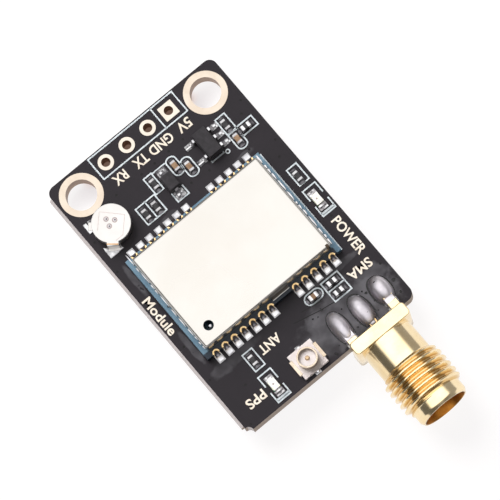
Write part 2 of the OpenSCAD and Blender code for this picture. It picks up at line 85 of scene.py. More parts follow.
class Nodes:
    """Short names for building a node tree, round a shader if there is one."""

    def __init__(self, tree, shader=None):
        self.tree = tree
        self.shader = shader

    def add(self, kind, **values):
        node = self.tree.nodes.new(kind)
        for key, value in values.items():
            setattr(node, key, value)
        return node

    def link(self, source, target):
        self.tree.links.new(source, target)

    def wire(self, name, source):
        """Links an output to a socket of the shader."""
        self.link(source, self.shader.inputs[name])

    def feed(self, socket, value):
        """Sets a plain value on the socket, or links an output to it."""
        if isinstance(value, (int, float, tuple)):
            socket.default_value = value
        else:
            self.link(value, socket)

    def math(self, operation, a, b=None, c=None):
        node = self.add("ShaderNodeMath", operation=operation)
        for socket, value in zip(node.inputs, (a, b, c)):
            if value is not None:
                self.feed(socket, value)
        return node.outputs[0]

    def vector(self, operation, a, b=None):
        node = self.add("ShaderNodeVectorMath", operation=operation)
        self.link(a, node.inputs[0])
        if b is not None:
            node.inputs[1].default_value = b
        return node.outputs

    def noise(self, scale, detail, place):
        node = self.add("ShaderNodeTexNoise")
        node.inputs["Scale"].default_value = scale
        node.inputs["Detail"].default_value = detail
        node.inputs["Roughness"].default_value = NOISE_ROUGHNESS
        self.link(place, node.inputs["Vector"])
        return node.outputs["Fac"]

    def ramp(self, fac, low, high, kind="SMOOTHSTEP"):
        node = self.add("ShaderNodeMapRange", interpolation_type=kind)
        node.inputs["From Min"].default_value = low
        node.inputs["From Max"].default_value = high
        self.link(fac, node.inputs["Value"])
        return node.outputs["Result"]

    def mix(self, fac, a, b):
        node = self.add("ShaderNodeMix", data_type="RGBA")
        for index, value in ((0, fac), (6, a), (7, b)):
            self.feed(node.inputs[index], value)
        return node.outputs[2]

    def geometry(self, output="Position"):
        return self.add("ShaderNodeNewGeometry").outputs[output]

    def split(self, vector):
        """The X, Y and Z outputs of a vector."""
        node = self.add("ShaderNodeSeparateXYZ")
        self.link(vector, node.inputs[0])
        return node.outputs

    def relief(self, height, strength, edge=0.0, depth=RELIEF_DEPTH):
        """Fine bumps on the shader; edge is the radius over which corners look soft."""
        bump = self.add("ShaderNodeBump")
        bump.inputs["Strength"].default_value = strength
        bump.inputs["Distance"].default_value = depth * MM
        self.link(height, bump.inputs["Height"])
        if edge > 0.0:
            soften = self.add("ShaderNodeBevel", samples=4)
            soften.inputs["Radius"].default_value = edge * MM
            self.link(soften.outputs["Normal"], bump.inputs["Normal"])
        self.wire("Normal", bump.outputs["Normal"])


def new_material(name, fixed):
    """A fresh material with fixed values set on its shader, and its node helper."""
    material = bpy.data.materials.new(name)
    material.use_nodes = True
    shader = material.node_tree.nodes["Principled BSDF"]
    for key, value in fixed.items():
        shader.inputs[key].default_value = value
    return material, Nodes(material.node_tree, shader)


def worn(name, light, dark, rough, metallic=0.0, scale=900.0, bump=0.02, coat=0.0, edge=0.0):
    """Two screen colours stirred by noise, uneven gloss, fine relief and softened edges."""
    fixed = {
        "Metallic": metallic,
        "Specular IOR Level": SHINE,
        "Coat Weight": coat,
        "Coat Roughness": COAT_ROUGHNESS,
    }
    material, nodes = new_material(name, fixed)
    place = nodes.geometry()
    fac = nodes.ramp(nodes.noise(scale, 4.0, place), *STIR)
    nodes.wire("Base Color", nodes.mix(fac, linear(*dark), linear(*light)))
    gloss = nodes.noise(scale * 0.37, 2.0, place)
    uneven = nodes.math("MULTIPLY_ADD", gloss, rough * 0.5, rough * 0.75)
    nodes.wire("Roughness", uneven)
    nodes.relief(nodes.noise(scale * 3.0, 2.0, place), bump, edge)
    return material


def zone(nodes, place, centre, half, wobble):
    """1 inside a soft oval seen from above, 0 outside; wobble makes its rim uneven."""
    middle = (centre[0] * MM, centre[1] * MM, BOARD_TOP * MM)
    squeeze = (1.0 / (half[0] * MM), 1.0 / (half[1] * MM), 0.0)
    shift = nodes.vector("SUBTRACT", place, middle)[0]
    far = nodes.vector("LENGTH", nodes.vector("MULTIPLY", shift, squeeze)[0])["Value"]
    return nodes.ramp(nodes.math("ADD", far, wobble), 1.3, 0.8)


# Centre, half size and strength of each patch of dried flux
FLUX_PATCHES = [
    ((4.6, -25.2), (4.6, 2.5), 0.8),
    ((1.2, -25.0), (1.1, 2.3), 0.6),
    ((2.9, -23.3), (2.4, 0.6), 0.6),
    ((8.4, -23.7), (1.2, 0.9), 0.6),
    ((-8.85, -9.7), (0.3, 1.6), 0.5),
    ((-8.9, -18.1), (0.32, 1.8), 0.5),
    ((-8.0, -21.5), (0.9, 0.6), 0.4),
    ((-5.6, -21.4), (1.9, 0.5), 0.35),
    ((-2.6, -7.0), (1.0, 0.35), 0.4),
    ((5.6, -21.0), (2.6, 0.35), 0.4),
    ((6.6, -7.0), (1.0, 0.3), 0.4),
]
LAYER_STRETCH = (0.25, 0.25, 6.0)
MASK_ROUGHNESS = 0.46
FLUX_POLISH = -0.22


def board_material():
    """Black mask on both faces with dried flux, bare layered laminate on the cut edges, painted lighter
    where they face -X as lit.
    """
    material, nodes = new_material("board_mask", {"Specular IOR Level": 0.16})
    place = nodes.geometry()
    mask = nodes.mix(nodes.noise(420, 3, place), linear(35, 32, 35), linear(42, 38, 42))
    wobble = nodes.math("MULTIPLY", nodes.math("SUBTRACT", nodes.noise(700, 3, place), 0.5), 1.5)
    flux = None
    for centre, half, strength in FLUX_PATCHES:
        patch = nodes.math("MULTIPLY", zone(nodes, place, centre, half, wobble), strength)
        flux = patch if flux is None else nodes.math("MAXIMUM", flux, patch)
    bubbles = nodes.ramp(nodes.noise(1500, 1, place), 0.7, 0.75)
    streaks = nodes.ramp(nodes.noise(520, 2, place), 0.3, 0.7)
    film = nodes.mix(streaks, linear(64, 62, 65), linear(104, 102, 106))
    film = nodes.mix(bubbles, film, linear(20, 19, 20))
    face = nodes.mix(flux, mask, film)
    layers = nodes.noise(900, 3, nodes.vector("MULTIPLY", place, LAYER_STRETCH)[0])
    # Painted light: cut edges facing -X are lighter and greyer as lit, the others darker tan as shaded
    shaded_edge = nodes.mix(layers, linear(140, 120, 104), linear(178, 158, 142))
    lit_edge = nodes.mix(layers, linear(182, 172, 170), linear(212, 205, 204))
    normal = nodes.split(nodes.geometry("Normal"))
    edge = nodes.mix(nodes.math("LESS_THAN", normal["X"], -0.4), shaded_edge, lit_edge)
    flat = nodes.math("GREATER_THAN", nodes.math("ABSOLUTE", normal["Z"]), 0.7)
    nodes.wire("Base Color", nodes.mix(flat, edge, face))
    gloss = nodes.math("MULTIPLY_ADD", flux, FLUX_POLISH, MASK_ROUGHNESS)
    nodes.wire("Roughness", gloss)
    weave = nodes.math("ADD", nodes.noise(2600, 2, place), nodes.math("MULTIPLY", flux, wobble))
    nodes.relief(weave, 0.12, depth=0.04)
    return material


def lens_material():
    """Milky resin, faintly green in patches."""
    fixed = {
        "Roughness": 0.22,
        "Subsurface Weight": 0.2,
        "Subsurface Radius": (0.0004, 0.0004, 0.0003),
        "Coat Weight": 0.4,
    }
    material, nodes = new_material("lamp_lens", fixed)
    tint = nodes.ramp(nodes.noise(2600, 2, nodes.geometry()), 0.5, 0.75)
    nodes.wire("Base Color", nodes.mix(tint, linear(250, 246, 238), linear(240, 240, 226)))
    return material


def plating_material(name, dark, light):
    """Pale gold pads whose hole walls are dull, and painted brown as shade."""
    material, nodes = new_material(name, {"Roughness": 0.38})
    place = nodes.geometry()
    stir = nodes.noise(900, 4, place)
    pad = nodes.mix(nodes.ramp(stir, *STIR), linear(*dark), linear(*light))
    # Painted shade: the walls of the holes are brown
    wall = nodes.mix(stir, linear(120, 88, 62), linear(176, 142, 112))
    normal = nodes.split(nodes.geometry("True Normal"))
    flat = nodes.math("GREATER_THAN", nodes.math("ABSOLUTE", normal["Z"]), 0.5)
    nodes.wire("Base Color", nodes.mix(flat, wall, pad))
    nodes.wire("Metallic", nodes.math("MULTIPLY_ADD", flat, 0.5, 0.5))
    nodes.relief(nodes.noise(2700, 2, place), 0.05)
    return material


# The painted shade of the can on the module runs from one Y to the other, and ends at an X
CAN_SHADE_FROM = -19.42
CAN_SHADE_TO = -19.52
CAN_SHADE_END = 7.1


def laminate_material():
    """Blue mask of the module, with painted shade of the can making it near black along the antenna side.
    """
    fixed = {"Roughness": 0.36, "Specular IOR Level": 0.3}
    material, nodes = new_material("module_laminate", fixed)
    place = nodes.geometry()
    stir = nodes.noise(700, 4, place)
    blue = nodes.mix(nodes.ramp(stir, *STIR), linear(93, 120, 138), linear(106, 133, 150))
    # Painted shade: the near-black blue where the can shades the ledge on its antenna side
    can_shade = nodes.mix(stir, linear(16, 22, 30), linear(36, 48, 60))
    spot = nodes.split(place)
    along = nodes.ramp(spot["Y"], CAN_SHADE_FROM * MM, CAN_SHADE_TO * MM, "LINEAR")
    inside = nodes.math("LESS_THAN", spot["X"], CAN_SHADE_END * MM)
    in_can_shade = nodes.math("MULTIPLY", along, inside)
    nodes.wire("Base Color", nodes.mix(in_can_shade, blue, can_shade))
    nodes.relief(nodes.noise(2100, 2, place), 0.06, 0.03)
    return material


def land_material():
    """Tinned copper, bright in patches where solder ran and dull between them."""
    material, nodes = new_material("tinned_lands", {"Metallic": 1.0, "Roughness": 0.34})
    place = nodes.geometry()
    patch = nodes.ramp(nodes.noise(2600, 2, place), 0.42, 0.6)
    nodes.wire("Base Color", nodes.mix(patch, linear(76, 74, 77), linear(156, 155, 156)))
    nodes.relief(nodes.noise(1800, 2, place), 0.4)
    return material


MASK = board_material()
PLATING = plating_material("ring_plating", (197, 183, 167), (205, 192, 177))
HEADER_PLATING = plating_material("header_plating", (203, 194, 182), (210, 202, 190))
LANDS = land_material()
COPPER_INK = worn("copper_lettering", (216, 207, 194), (207, 196, 181), 0.4, 1, 1500, 0.05)
TIN = worn("tinned_ends", (190, 189, 190), (160, 158, 160), 0.34, 1, 1500, 0.2, edge=0.02)
LAMP_TIN = worn("lamp_tin", (222, 221, 222), (128, 124, 126), 0.34, 1, 2800, 0.4)
LEAD = worn("bent_leads", (112, 110, 112), (76, 74, 77), 0.36, 1, 2400, 0.3, edge=0.03)
PAD_SOLDER = worn("pad_joint", (220, 219, 220), (188, 187, 190), 0.34, 1, 1500, 0.35)
SOLDER_AND_HIGHLIGHT = worn("solder_and_highlight", (217, 216, 217), (205, 204, 207), 0.34, 1, 1200, 0.15)
POOL_SOLDER = worn("pool_solder", (219, 218, 219), (150, 149, 150), 0.34, 1, 1000, 0.15)
# Solder painted darker as shade, for the slopes of the joints
SHADED_SOLDER = worn("solder_slope_shade", (116, 114, 118), (92, 90, 94), 0.4, 1, 1500, 0.2)
JACK_SOLDER = worn("heavy_solder", (236, 231, 235), (192, 187, 193), 0.5, 1, 420, 0.8)
BLUE = laminate_material()
CAN = worn("can_sheet", (198, 195, 190), (195, 191, 185), 0.28, 1, 160, 0.004)
# The can's own sheet, painted darker as shade on the feet
CAN_FOOT_SHADED = worn("can_foot", (128, 123, 118), (112, 107, 102), 0.36, 1, 900, 0.1, edge=0.04)
# Painted shade seen in the slit at the can's corner
SLIT_SHADE = worn("slit_painted_shade", (70, 58, 46), (34, 28, 24), 0.5, 0.3, 900, 0.05)
BLACK = worn("moulded_epoxy", (51, 48, 51), (42, 40, 42), 0.55, 0, 2400, 0.35, edge=0.06)
CERAMIC = worn("fired_ceramic", (226, 216, 196), (196, 184, 160), 0.5, 0, 1800, 0.1, edge=0.03)
CELL = worn("cell_steel", (204, 201, 198), (198, 195, 192), 0.34, 1, 500, 0.04, edge=0.08)
GASKET = worn("cell_seal", (60, 58, 60), (40, 38, 40), 0.6, 0, 2000, 0.1)
GOLD = worn("gold_plate", (248, 228, 188), (240, 216, 170), 0.16, 1, 500, 0.03, edge=0.06)
# The jack's gold plate, painted darker brown as shade inside the bore
SHADED_BORE_GOLD = worn("bore_gold_shade", (182, 124, 54), (140, 88, 32), 0.42, 1, 500, 0.05)
CONTACT_GOLD = worn("contact_gold", (252, 222, 168), (238, 200, 140), 0.36, 0.6, 1600, 0.1)
PIN_GOLD = worn("pin_gold", (212, 188, 158), (192, 164, 130), 0.34, 0.7, 1600, 0.1)
RING_METAL = worn("socket_metal", (204, 190, 172), (184, 168, 148), 0.26, 1, 1200, 0.05, edge=0.03)
PTFE = worn("insulator_white", (226, 222, 212), (210, 202, 190), 0.5, 0, 900, 0.05)
CREAM = worn("socket_plastic", (239, 230, 228), (229, 218, 215), 0.42, 0, 900, 0.05, edge=0.05)
LAMP_BASE = worn("lamp_base", (206, 206, 190), (176, 184, 160), 0.45, 0, 1800, 0.1)
LENS = lens_material()
FILM = worn("resistor_glaze", (50, 48, 50), (30, 29, 30), 0.3, 0, 2600, 0.1, 0.2, 0.03)
TAN = worn("capacitor_tan", (160, 132, 106), (136, 108, 84), 0.42, 0, 2600, 0.15, edge=0.03)
SILK = worn("legend_ink", (222, 229, 232), (203, 211, 215), 0.6, 0, 2600, 0.2)
THIN_INK = worn("thin_ink", (150, 156, 160), (128, 134, 138), 0.6, 0, 2600, 0.2)
VIA = worn("via_tent", (22, 20, 21), (10, 9, 9), 0.5, 0, 2600, 0.1)
WELD = worn("weld_dot", (196, 191, 192), (172, 167, 169), 0.4, 0.6, 3000, 0.3)
PINK = worn("weld_halo", (172, 158, 155), (160, 146, 143), 0.5, 0.6, 2000, 0.1)
BEND = worn("strip_bend", (206, 168, 122), (186, 142, 92), 0.4, 0.8, 1200, 0.1)
SEAM = worn("weld_seam", (196, 182, 178), (188, 173, 169), 0.5, 0.6, 2000, 0.1)
GREEN = worn("lamp_green", (70, 140, 100), (40, 100, 70), 0.4, 0, 3000, 0.1)
# Dark flux, also used for painted shade on the module ledge and beside the cell's strip
FLUX_AND_SHADE = worn("flux_and_shade", (24, 22, 23), (12, 11, 12), 0.15, 0, 1500, 0.2, 0.1)

NODE_LOOKS = [
    (MASK, ["board"]),
    (PLATING, ["mounting_hole_plating"]),
    (HEADER_PLATING, ["header_hole_plating"]),
    (LANDS, ["component_lands"]),
    (TIN, ["module_lands", "led_terminals", "resistor_caps", "capacitor_caps"]),
    (BLUE, ["module_board"]),
    (CONTACT_GOLD, ["module_castellations", "jack_contact"]),
    (CAN, ["shield_can"]),
    (BLACK, ["receiver_chip", "amplifier_chip", "regulator_body", "diode_body"]),
    (CERAMIC, ["oscillator", "clock_crystal", "input_filters"]),
    (CELL, ["cell_case", "cell_cap", "cell_top_strip", "cell_bottom_strip"]),
    (GASKET, ["cell_gasket"]),
    (GOLD, ["jack_body"]),
    (PTFE, ["jack_insulator"]),
    (CREAM, ["socket_base"]),
    (RING_METAL, ["socket_shell"]),
    (PIN_GOLD, ["socket_pin"]),
    (LAMP_BASE, ["power_led_base", "pps_led_base"]),
    (LENS, ["power_led_lens", "pps_led_lens"]),
    (LEAD, ["regulator_leads", "diode_leads"]),
    (FILM, ["resistors"]),
    (TAN, ["capacitors"]),
]
for look, node_names in NODE_LOOKS:
    for node_name in node_names:
        mesh = frame["nodes"][node_name].data
        mesh.materials.clear()
        mesh.materials.append(look)


# Mesh building, in millimetres


CORNER_STEPS = 6


def arc(x, y, rx, ry, start, sweep, steps):
    """Points along part of an ellipse; start and sweep are in degrees."""
    points = []
    for i in range(steps + 1):
        turn = math.radians(start + sweep * i / steps)
        points.append((x + rx * math.cos(turn), y + ry * math.sin(turn)))
    return points


def circle(x, y, radius, count):
    """Points once round a circle."""
    return arc(x, y, radius, radius, 0, 360, count)[:-1]


def rounded_outline(w, l, r):
    """A rectangle about the origin with round corners."""
    points = []
    for cx, cy, start in ((1, 1, 0), (-1, 1, 90), (-1, -1, 180), (1, -1, 270)):
        points += arc(cx * (w / 2 - r), cy * (l / 2 - r), r, r, start, 90, CORNER_STEPS)
    return points


def spin(x, y, turn):
    """A point turned about the origin by an angle in radians."""
    c = math.cos(turn)
    s = math.sin(turn)
    return x * c - y * s, x * s + y * c


def add_piece(name, mesh, material):
    """Puts a mesh into the scene as a visible piece of the part."""
    mesh.materials.clear()
    mesh.materials.append(material)
    piece = bpy.data.objects.new(name, mesh)
    bpy.context.scene.collection.objects.link(piece)
    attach(piece, BODY)
    return piece


class Shape:
    """Collects vertices and faces in millimetres and turns them into one piece."""

    def __init__(self):
        self.points = []
        self.faces = []

    def add(self, points, faces):
        start = len(self.points)
        self.points.extend(points)
        self.faces.extend([[start + i for i in face] for face in faces])

    def loft(self, rows, capped=True):
        """Joins loops of equal length into a skin, closed at both ends if capped."""
        count = len(rows[0])
        last = (len(rows) - 1) * count
        faces = []
        if capped:
            faces = [list(range(count))[::-1], list(range(last, last + count))]
        for k in range(0, last, count):
            for i in range(count):
                j = (i + 1) % count
                faces.append([k + i, k + j, k + count + j, k + count + i])
        self.add([point for row in rows for point in row], faces)

    def prism(self, outline, low, high):
        self.loft([[(x, y, z) for x, y in outline] for z in (low, high)])

    def bar(self, a, b, width, low, high):
        """A straight ribbon from a to b with square ends half a width past them."""
        along = Vector((b[0] - a[0], b[1] - a[1]))
        along.normalize()
        reach = along * width / 2
        self.path([Vector(a) - reach, Vector(b) + reach], width, low, high)

    def path(self, points, width, low, high, closed=False):
        """A mitred ribbon along points."""
        count = len(points)
        left = []
        right = []
        for i, point in enumerate(points):
            here = Vector(point)
            before = Vector(points[i - 1]) if closed or i > 0 else None
            after = Vector(points[(i + 1) % count]) if closed or i < count - 1 else None
            one = (here - before).normalized() if before is not None else (after - here).normalized()
            two = (after - here).normalized() if after is not None else one
            normal = Vector((-(one + two).y, (one + two).x)).normalized()
            spread = width / 2 / max(0.35, normal.dot(Vector((-one.y, one.x))))
            left.append(tuple(here + normal * spread))
            right.append(tuple(here - normal * spread))
        last = count if closed else count - 1
        for i in range(last):
            j = (i + 1) % count
            self.prism([right[i], right[j], left[j], left[i]], low, high)

    def disc(self, x, y, radius, low, high, count):
        self.prism(circle(x, y, radius, count), low, high)

    def blob(self, x, y, low, rx, ry, high, square, lumps, rings, count, full=None, turn=0.0):
        """A rounded mound; square above 2 makes its plan fuller, and full its section."""
        full = square if full is None else full
        phase = random.uniform(0, 6.28)
        rows = []
        for k in range(rings):
            rise = (math.pi / 2) * k / rings
            out = max(0.0, math.cos(rise)) ** (2.0 / full)
            up = math.sin(rise) ** (2.0 / full)
            row = []
            for i in range(count):
                angle = 2 * math.pi * i / count
                c = math.cos(angle)
                s = math.sin(angle)
                swell = 1.0 + lumps * math.sin(3 * angle + phase) * math.sin(2 * rise + phase)
                px = math.copysign(abs(c) ** (2.0 / square), c) * rx * out * swell
                py = math.copysign(abs(s) ** (2.0 / square), s) * ry * out * swell
                qx, qy = spin(px, py, turn)
                row.append((x + qx, y + qy, low + (high - low) * up))
            rows.append(row)
        start = len(self.points)
        last = start + (rings - 1) * count
        self.loft(rows, False)
        self.points.append((x, y, high))
        for i in range(count):
            self.faces.append([last + i, last + (i + 1) % count, last + count])
        self.faces.append(list(range(start, start + count))[::-1])

    def fillet(self, x, y, turn, profile):
        """A solder slope from rows of (distance out, height, half width), turned about z."""
        points = []
        for out, height, half in profile:
            for across in (-half, -0.8 * half, 0.8 * half, half):
                z = height if abs(across) < half else SEAT
                px, py = spin(across, out, turn)
                points.append((x + px, y + py, z))
        faces = []
        for k in range(len(profile) - 1):
            for i in range(3):
                a = 4 * k + i
                faces.append([a, a + 1, a + 5, a + 4])
        self.add(points, faces)

    def soft_box(self, centre, size, bevel, segments=2):
        """A box with rounded edges; centre is the middle of the box."""
        work = bmesh.new()
        bmesh.ops.create_cube(work, size=1.0)
        bmesh.ops.scale(work, vec=Vector(size), verts=work.verts)
        edges = work.edges[:]
        bmesh.ops.bevel(work, geom=edges, offset=bevel, segments=segments, profile=0.5, affect="EDGES")
        work.verts.ensure_lookup_table()
        work.verts.index_update()
        points = [tuple(v.co + Vector(centre)) for v in work.verts]
        faces = [[v.index for v in f.verts] for f in work.faces]
        work.free()
        self.add(points, faces)

    def round_block(self, centre, size, corner, bevel, steps=3):
        """A block with round upright edges and softened top and bottom edges."""
        levels = []
        for i in range(steps + 1):
            turn = math.pi / 2 * i / steps
            levels.append((bevel * (1 - math.sin(turn)), bevel * (1 - math.cos(turn)) - size[2] / 2))
        levels += [(inset, -height) for inset, height in reversed(levels)]
        rows = []
        for inset, height in levels:
            outline = rounded_outline(size[0] - 2 * inset, size[1] - 2 * inset, corner - inset)
            rows.append([(centre[0] + x, centre[1] + y, centre[2] + height) for x, y in outline])
        self.loft(rows)

    def lathe_y(self, x, z, profile, count):
        """A surface turned about an axis along Y; profile is a list of (y, radius)."""
        rows = []
        for y, radius in profile:
            rows.append([(x + aside, y, z + up) for up, aside in circle(0, 0, radius, count)])
        self.loft(rows, False)

    def piece(self, name, material, slot, sharp=None):
        """One piece; with sharp it is smooth except at edges over that many degrees."""
        mesh = bpy.data.meshes.new(name)
        mesh.from_pydata([(x * MM, y * MM, z * MM) for x, y, z in self.points], [], self.faces)
        mesh.update()
        if sharp is not None:
            mesh.polygons.foreach_set("use_smooth", [True] * len(mesh.polygons))
            mesh.set_sharp_from_angle(angle=math.radians(sharp))
        return add_piece(name, mesh, material)


# Legend: white frames round the parts


LINE = 0.14
INK_LOW = BOARD_TOP
INK_HIGH = BOARD_TOP + INK
END_STEPS = 7
END_DEPTH = 0.75


def rectangle(x0, y0, x1, y1):
    return [(x0, y0), (x1, y0), (x1, y1), (x0, y1)]


def stadium(x0, y0, x1, y1, high_round=True):
    """Frame along Y with a round low end and a round or square high end."""
    half = (x1 - x0) / 2
    middle = (x0 + x1) / 2
    depth = half * END_DEPTH
    high = [(x1, y1), (x0, y1)]
    if high_round:
        high = arc(middle, y1 - depth, half, depth, 0, 180, END_STEPS)
    return high + arc(middle, y0 + depth, half, depth, 180, 180, END_STEPS)


def lying_stadium(x0, y0, x1, y1):
    """Frame along X with round ends."""
    radius = (y1 - y0) / 2
    middle = (y0 + y1) / 2
    right = arc(x1 - radius, middle, radius, radius, -90, 180, END_STEPS)
    return right + arc(x0 + radius, middle, radius, radius, 90, 180, END_STEPS)


legend = Shape()
FRAMES = [
    rectangle(-4.97, -0.23, 5.17, 2.21),
    rectangle(-2.18, -4.56, -1.26, -2.66),
    rectangle(-4.58, -6.33, -2.32, -4.42),
    rectangle(6.52, -4.50, 7.62, -2.66),
    rectangle(7.62, -5.56, 9.40, -4.47),
    rectangle(8.55, -12.72, 9.70, -10.78),
    rectangle(-5.80, -23.67, -4.67, -21.68),
    rectangle(4.07, -23.40, 6.03, -21.22),
    stadium(0.38, -4.58, 1.42, -2.57),
    stadium(1.36, -5.56, 2.47, -3.51),
    stadium(6.52, -6.49, 7.58, -4.60, False),
    lying_stadium(1.85, -22.23, 3.80, -21.17),
]
for outline in FRAMES:
    legend.path(outline, LINE, INK_LOW, INK_HIGH, closed=True)
STROKES = [
    [(2.59, -0.23), (2.59, 2.21)],
    [(-3.46, -6.33), (-3.46, -4.42)],
    [(4.07, -22.30), (6.03, -22.30)],
    [(-1.19, -2.76), (0.34, -2.76)],
    [(-1.03, -5.42), (-1.03, -6.46), (0.27, -6.46), (0.27, -5.42)],
    [(3.80, -5.45), (3.80, -5.60), (5.20, -5.60), (5.20, -5.45)],
    [(7.68, -7.95), (7.68, -19.98)],
]
for stroke in STROKES:
    legend.path(stroke, LINE, INK_LOW, INK_HIGH)

LAMP_GAP = 0.35
BAR_INSET = 0.1
HEAVY_BAR_Y = 0.27
HEAVY_BAR_W = 0.18
THIN_BAR_Y = 0.14
THIN_BAR_W = 0.12


def cathode_bar(shape, frame_box, rise, width, high):
    """A bar inside the low end of a lamp's frame."""
    x0, y0, x1, _ = frame_box
    shape.bar((x0 + BAR_INSET, y0 + rise), (x1 - BAR_INSET, y0 + rise), width, INK_LOW, high)


LAMP_FRAMES = [(8.38, -16.42, 9.87, -13.33), (-6.03, -27.30, -4.55, -24.26)]
thin_ink = Shape()
for frame_box in LAMP_FRAMES:
    x0, y0, x1, y1 = frame_box
    middle = (y0 + y1) / 2
    for end, gap in ((y1, middle + LAMP_GAP), (y0, middle - LAMP_GAP)):
        legend.path([(x0, gap), (x0, end), (x1, end), (x1, gap)], LINE, INK_LOW, INK_HIGH)
    cathode_bar(legend, frame_box, HEAVY_BAR_Y, HEAVY_BAR_W, INK_HIGH)
    cathode_bar(thin_ink, frame_box, THIN_BAR_Y, THIN_BAR_W, INK_HIGH - 0.004)
legend.path(circle(5.56, -5.74, 0.19, 28), 0.11, INK_LOW, INK_HIGH, closed=True)
legend.piece("legend_frames", SILK, "mask")
thin_ink.piece("legend_thin_ink", THIN_INK, "mask")


# Copper lettering


LETTER_RISE = 0.03


def letters(word, centre, width, height, turn):
    """A generic word in bare copper, centred, turned in the board plane."""
    curve = bpy.data.curves.new("word_" + word, "FONT")
    curve.body = word
    curve.extrude = 0.01
    curve.offset = 0.02
    curve.resolution_u = 3
    carrier = bpy.data.objects.new("carrier", curve)
    bpy.context.scene.collection.objects.link(carrier)
    bpy.context.view_layer.update()
    graph = bpy.context.evaluated_depsgraph_get()
    mesh = bpy.data.meshes.new_from_object(carrier.evaluated_get(graph))
    bpy.data.objects.remove(carrier)
    bpy.data.curves.remove(curve)
    low = [min(v.co[i] for v in mesh.vertices) for i in range(3)]
    span = [max(v.co[i] for v in mesh.vertices) - low[i] for i in range(3)]
    for v in mesh.vertices:
        share = [(v.co[i] - low[i]) / span[i] for i in range(3)]
        x, y = spin((share[0] - 0.5) * width, (share[1] - 0.5) * height, math.radians(turn))
        z = INK_LOW + share[2] * LETTER_RISE
        v.co = Vector(((centre[0] + x) * MM, (centre[1] + y) * MM, z * MM))
    mesh.update()
    add_piece("lettering_" + word, mesh, COPPER_INK)


letters("RX", (-3.69, -1.10), 1.46, 1.02, 180)
letters("TX", (-1.21, -1.10), 1.50, 1.02, 180)
letters("GND", (1.25, -1.10), 2.62, 1.02, 180)
letters("5V", (4.05, -1.10), 1.48, 1.02, 180)
letters("POWER", (9.07, -19.33), 4.2, 1.0, -90)
letters("PPS", (-7.43, -25.70), 2.05, 1.0, 180)
letters("SMA", (7.78, -22.48), 2.56, 0.98, 180)
letters("ANT", (-3.12, -22.48), 2.3, 0.98, 180)
letters("Module", (-9.28, -13.78), 4.25, 0.96, -90)


# Tented vias on both faces, and two tracks that show through the mask


VIAS = [
    (3.09, -2.09), (1.33, -2.11), (-0.38, -2.14), (-1.99, -2.14), (-5.05, -2.16), (1.05, -5.84),
    (3.09, -6.02), (-9.48, -4.34), (9.61, -2.73), (9.66, -7.78), (8.82, -3.77), (1.02, -27.35),
    (-9.62, -7.9), (-9.4, -17.5), (-9.3, -27.2), (9.55, -23.3), (9.3, -26.6), (-6.05, -2.2),
    (9.0, -16.8), (-9.55, -21.5), (7.2, -6.9), (-0.9, -6.9), (8.9, -9.3), (-7.3, -24.0),
]
VIA_R = 0.13
VIA_RISE = 0.006
vias = Shape()
for x, y in VIAS:
    vias.disc(x, y, VIA_R, BOARD_TOP, BOARD_TOP + VIA_RISE, 14)
    vias.disc(x, y, VIA_R, -VIA_RISE, 0.0, 14)
TRACES = [
    [(-0.25, -22.46), (2.47, -23.11), (4.01, -23.35)],
    [(0.99, -22.08), (3.19, -22.52)],
]
TRACE_W = 0.09
for trace in TRACES:
    vias.path(trace, TRACE_W, BOARD_TOP, BOARD_TOP + 0.004)
vias.piece("tented_vias", VIA, "mask")


# Solder


FIRST_CONTACT_X = -7.48
CONTACT_PITCH = 1.1
CONTACT_GAP = 1.9
CONTACT_X = [FIRST_CONTACT_X + CONTACT_PITCH * i + (CONTACT_GAP if i > 6 else 0.0) for i in range(12)]
MODULE_Y = -13.98
MODULE_HALF_L = 6.1
HALF_TURN = math.pi
QUARTER_TURN = math.pi / 2

module_pads = Shape()
module_fillets = Shape()
module_rims = Shape()
PAD_OUT = 0.5
RIM_R = 0.295
RIM_W = 0.15
PAD_SLOPE = [
    (-0.23, SEAT + 0.5, 0.2),
    (-0.12, SEAT + 0.36, 0.23),
    (0.0, SEAT + 0.22, 0.25),
    (0.14, SEAT + 0.12, 0.28),
    (0.26, SEAT + 0.09, 0.28),
]
for side in (1, -1):
    edge = MODULE_Y + side * MODULE_HALF_L
    turn = 0.0 if side > 0 else HALF_TURN
    for x in CONTACT_X:
        wide = random.uniform(0.29, 0.33)
        reach = random.uniform(0.54, 0.6)
        module_pads.soft_box((x, edge + side * PAD_OUT, SEAT + 0.04), (2 * wide, reach, 0.12), 0.05)
        module_fillets.fillet(x, edge, turn, PAD_SLOPE)
        rim = arc(x, edge, RIM_R, RIM_R, 180 + math.degrees(turn), 180, 12)
        module_rims.path(rim, RIM_W, MODULE_TOP, MODULE_TOP + INK)
module_pads.piece("module_pad_solder", PAD_SOLDER, "tin", 50)
# The fillets are painted darker than the pads as shade
module_fillets.piece("module_fillets", SHADED_SOLDER, "tin", 80)
module_rims.piece("module_rims", CONTACT_GOLD, "gold")

